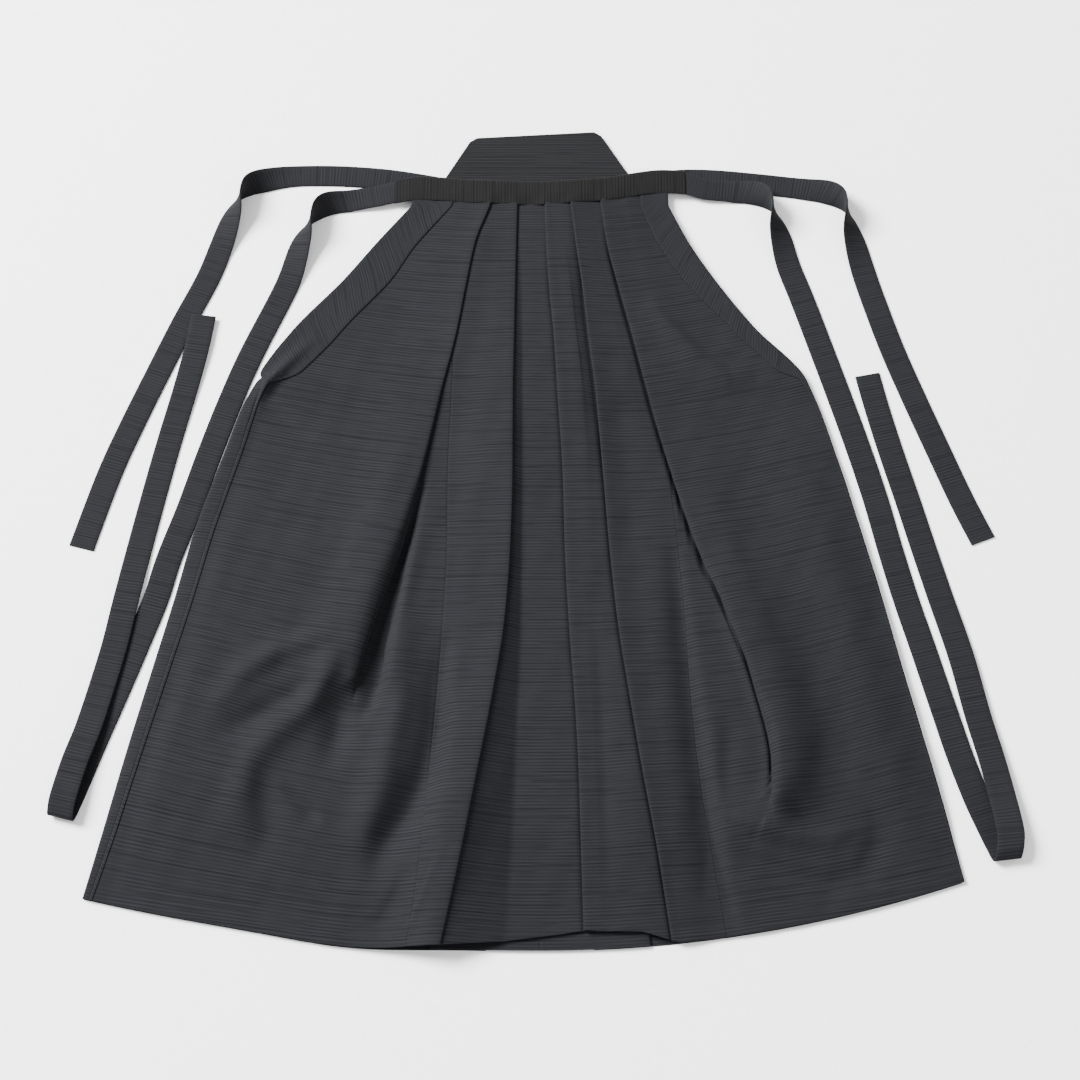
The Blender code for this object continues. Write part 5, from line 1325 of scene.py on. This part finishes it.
def striped_cloth(name, tint=(1.0, 1.0, 1.0), seed=0.0):
    material = bpy.data.materials.new(name)
    material.use_nodes = True
    tree = material.node_tree
    shader = tree.nodes["Principled BSDF"]
    flat = make_node(tree, "ShaderNodeUVMap", {"uv_map": "cloth"})
    across = make_node(tree, "ShaderNodeSeparateXYZ", None, {0: flat})
    down = Wire(tree, across.socket.node.outputs[1])

    def streaks(length, pitch, shift, detail=0.0):
        place = make_node(tree, "ShaderNodeCombineXYZ", None,
                          {0: across / length, 1: down / pitch, 2: shift + seed})
        return make_node(tree, "ShaderNodeTexNoise", {"noise_dimensions": "3D"},
                         {"Vector": place, "Scale": 1.0, "Detail": detail, "Roughness": 0.5})

    def between(value, low, high):
        return make_node(tree, "ShaderNodeMapRange", {"interpolation_type": "SMOOTHSTEP"},
                         {"Value": value, "From Min": low, "From Max": high})

    jitter = streaks(0.80, 0.011, 0.0)
    ribs = (down * (2.0 * math.pi / RIB_PITCH) + jitter * 2.4).math("SINE") * 0.5 + 0.5
    threads = streaks(0.02, THREAD_PITCH, 7.3, 1.0)
    patches = between(streaks(0.05, 0.012, 29.3), 0.34, 0.66)

    def fine_lines(spacing, shift):
        drift = streaks(1.2, 0.024, shift) * 1.3
        saw = (down / spacing + drift).math("FRACT") - 0.5
        half = LINE_WIDTH / 2 / spacing
        line = between(saw.math("ABSOLUTE"), half, half / 4)
        return line * between(streaks(0.07, 0.006, shift + 9.0), 0.45, 0.58)

    lines = (fine_lines(0.0083, 17.7) + fine_lines(0.0131, 41.3)).math("MINIMUM", 1.0)
    cloudy = make_node(tree, "ShaderNodeTexNoise", {"noise_dimensions": "3D"},
                       {"Vector": flat, "Scale": 9.0, "Detail": 2.0, "Roughness": 0.5})
    tone = (ribs - 0.5) * (patches * 0.24 + 0.14) + threads * 0.30 + cloudy * 0.16 + 0.27
    stops = ((0.10, tinted(DARK, tint)), (0.50, tinted(GROUND_TONE, tint)), (0.90, tinted(LIGHT, tint)))
    ground = make_node(tree, "ShaderNodeValToRGB", {"stops": stops}, {0: tone})
    colour = make_node(tree, "ShaderNodeMix", {"data_type": "RGBA"},
                       {0: lines * 0.72, 6: ground, 7: tinted(DARK, tint)}, 2)
    tree.links.new(colour.socket, shader.inputs["Base Color"])
    rough = 0.84 + cloudy * 0.10 + lines * 0.04 - ribs * 0.03
    tree.links.new(rough.socket, shader.inputs["Roughness"])
    weave = make_node(tree, "ShaderNodeBump", None,
                      {"Strength": 0.20, "Distance": 0.0004, "Height": tone - lines * 0.3})
    tree.links.new(weave.socket, shader.inputs["Normal"])
    shader.inputs["Sheen Weight"].default_value = 0.03
    shader.inputs["Sheen Roughness"].default_value = 0.40
    shader.inputs["Specular IOR Level"].default_value = 0.05
    return material


panel_cloth = striped_cloth("panel_cloth")
back_cloth = striped_cloth("back_cloth", seed=3.1)
band_cloth = striped_cloth("band_cloth", tint=(0.70, 0.67, 0.61), seed=5.7)
tie_cloth = striped_cloth("tie_cloth", tint=(1.02, 1.01, 1.0), seed=8.2)
board_cloth = striped_cloth("board_cloth", tint=(0.94, 0.92, 0.88), seed=11.9)
cloths = (panel_cloth, back_cloth, band_cloth, tie_cloth, board_cloth)
print("materials:", [cloth.name for cloth in cloths])

# %% [markdown]
# ## The table of cut pieces
#
# Each line gives a piece, the plain solid it stands for, its cloth, the size it was cut to and what
# it rests on. A cut piece is not a rectangle, so its flat area is given too. The ties are strips of
# one width, so their lines are made from the lengths found above.

# %% The cut pieces
Cut = namedtuple("Cut", "piece node cloth width length area held rests_on")
ON_LEFT = ("left_back",)
ON_RIGHT = ("right_back",)
ON_FLOOR = ("floor",)
CUTS = [
    Cut("outer_left_front", "front_outer_left", panel_cloth, 0.36, 0.965, 0.290, "folded", ON_LEFT),
    Cut("inner_left_front", "front_inner_left", panel_cloth, 0.27, 0.965, 0.205, "folded", ON_LEFT),
    Cut("inner_right_front", "front_inner_right", panel_cloth, 0.37, 0.965, 0.285, "folded", ON_RIGHT),
    Cut("outer_right_front", "front_outer_right", panel_cloth, 0.35, 0.965, 0.240, "folded", ON_RIGHT),
    Cut("left_back", "back_left", back_cloth, 0.63, 0.955, 0.46, "laid", ON_FLOOR),
    Cut("right_back", "back_right", back_cloth, 0.58, 0.955, 0.43, "laid", ON_FLOOR),
    Cut("waist_band", "front_band", band_cloth, 0.36, 0.072, 0.0255, "folded", ("covered_board",)),
    Cut("covered_board", "back_board", board_cloth, 0.264, 0.098, 0.0205, "laid", ON_FLOOR),
]
TIE_NODES = {"left_front_tie": "front_tie_left", "right_front_tie": "front_tie_right",
             "left_back_tie": "back_tie_left", "right_back_tie": "back_tie_right"}
for name, node in TIE_NODES.items():
    CUTS.append(Cut(name, node, tie_cloth, TIE_WIDTH, tie_lengths[name], None, "laid", ON_FLOOR))

print(len(CUTS), "cut pieces")

# %% [markdown]
# ## Floor
#
# A large pale floor catches the soft shadow. A faint grain keeps it from looking like plastic.

# %% Floor
FLOOR_SIZE = 14.0


def floor():
    half = FLOOR_SIZE / 2
    mesh = bpy.data.meshes.new("floor")
    corners = [(-half, -half, 0.0), (half, -half, 0.0), (half, half, 0.0), (-half, half, 0.0)]
    mesh.from_pydata(corners, [], [(0, 1, 2, 3)])
    plane = bpy.data.objects.new("floor", mesh)
    bpy.context.scene.collection.objects.link(plane)
    paper = bpy.data.materials.new("floor_paper")
    paper.use_nodes = True
    tree = paper.node_tree
    shader = tree.nodes["Principled BSDF"]
    place = make_node(tree, "ShaderNodeTexCoord", output=3)
    grain = make_node(tree, "ShaderNodeTexNoise", None, {"Vector": place, "Scale": 60.0, "Detail": 3.0})
    tones = {0: grain, 6: (0.86, 0.86, 0.86, 1.0), 7: (0.89, 0.89, 0.89, 1.0)}
    pale = make_node(tree, "ShaderNodeMix", {"data_type": "RGBA"}, tones, 2)
    tree.links.new(pale.socket, shader.inputs["Base Color"])
    shader.inputs["Roughness"].default_value = 0.9
    mesh.materials.append(paper)


floor()
print("floor laid")

# %% [markdown]
# ## Light
#
# The main light is a big soft panel above and to the left, low enough to show the folds. A weaker
# one fills from the other side, and a pale sky keeps the shadows open.

# %% Lights
Lamp = namedtuple("Lamp", "name place size power colour")
LAMPS = (
    Lamp("key", (-5.3, 2.8, 4.7), 3.4, 3550.0, (0.985, 0.992, 1.0)),
    Lamp("fill", (3.0, -1.6, 2.6), 2.6, 80.0, (1.0, 0.985, 0.96)),
)
SKY = (0.975, 0.985, 1.0, 1.0)
SKY_STRENGTH = 1.05

for lamp in LAMPS:
    light = bpy.data.lights.new(lamp.name, "AREA")
    light.energy = lamp.power
    light.size = lamp.size
    light.color = lamp.colour
    light_object = bpy.data.objects.new(lamp.name, light)
    bpy.context.scene.collection.objects.link(light_object)
    light_object.location = look_at + Vector(lamp.place)
    light_object.rotation_euler = Vector(lamp.place).to_track_quat("Z", "Y").to_euler()

sky = bpy.data.worlds.new("sky")
sky.use_nodes = True
sky.node_tree.nodes["Background"].inputs["Color"].default_value = SKY
sky.node_tree.nodes["Background"].inputs["Strength"].default_value = SKY_STRENGTH
bpy.context.scene.world = sky
print("lights:", [lamp.name for lamp in LAMPS])

# %% [markdown]
# ## Each piece takes its place
#
# Every piece gets its cloth, rides on the garment's one body and stands for its plain solid.

# %% Ride and replace
for cut in CUTS:
    piece = made[cut.piece]
    piece.data.materials.append(cut.cloth)
    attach(piece, "root")
    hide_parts(cut.node)
    list(cut.rests_on)
print(len(CUTS), "pieces declared")

# %% [markdown]
# ## Last update
#
# The view layer is brought up to date once more.

# %% Update the view layer
bpy.context.view_layer.update()
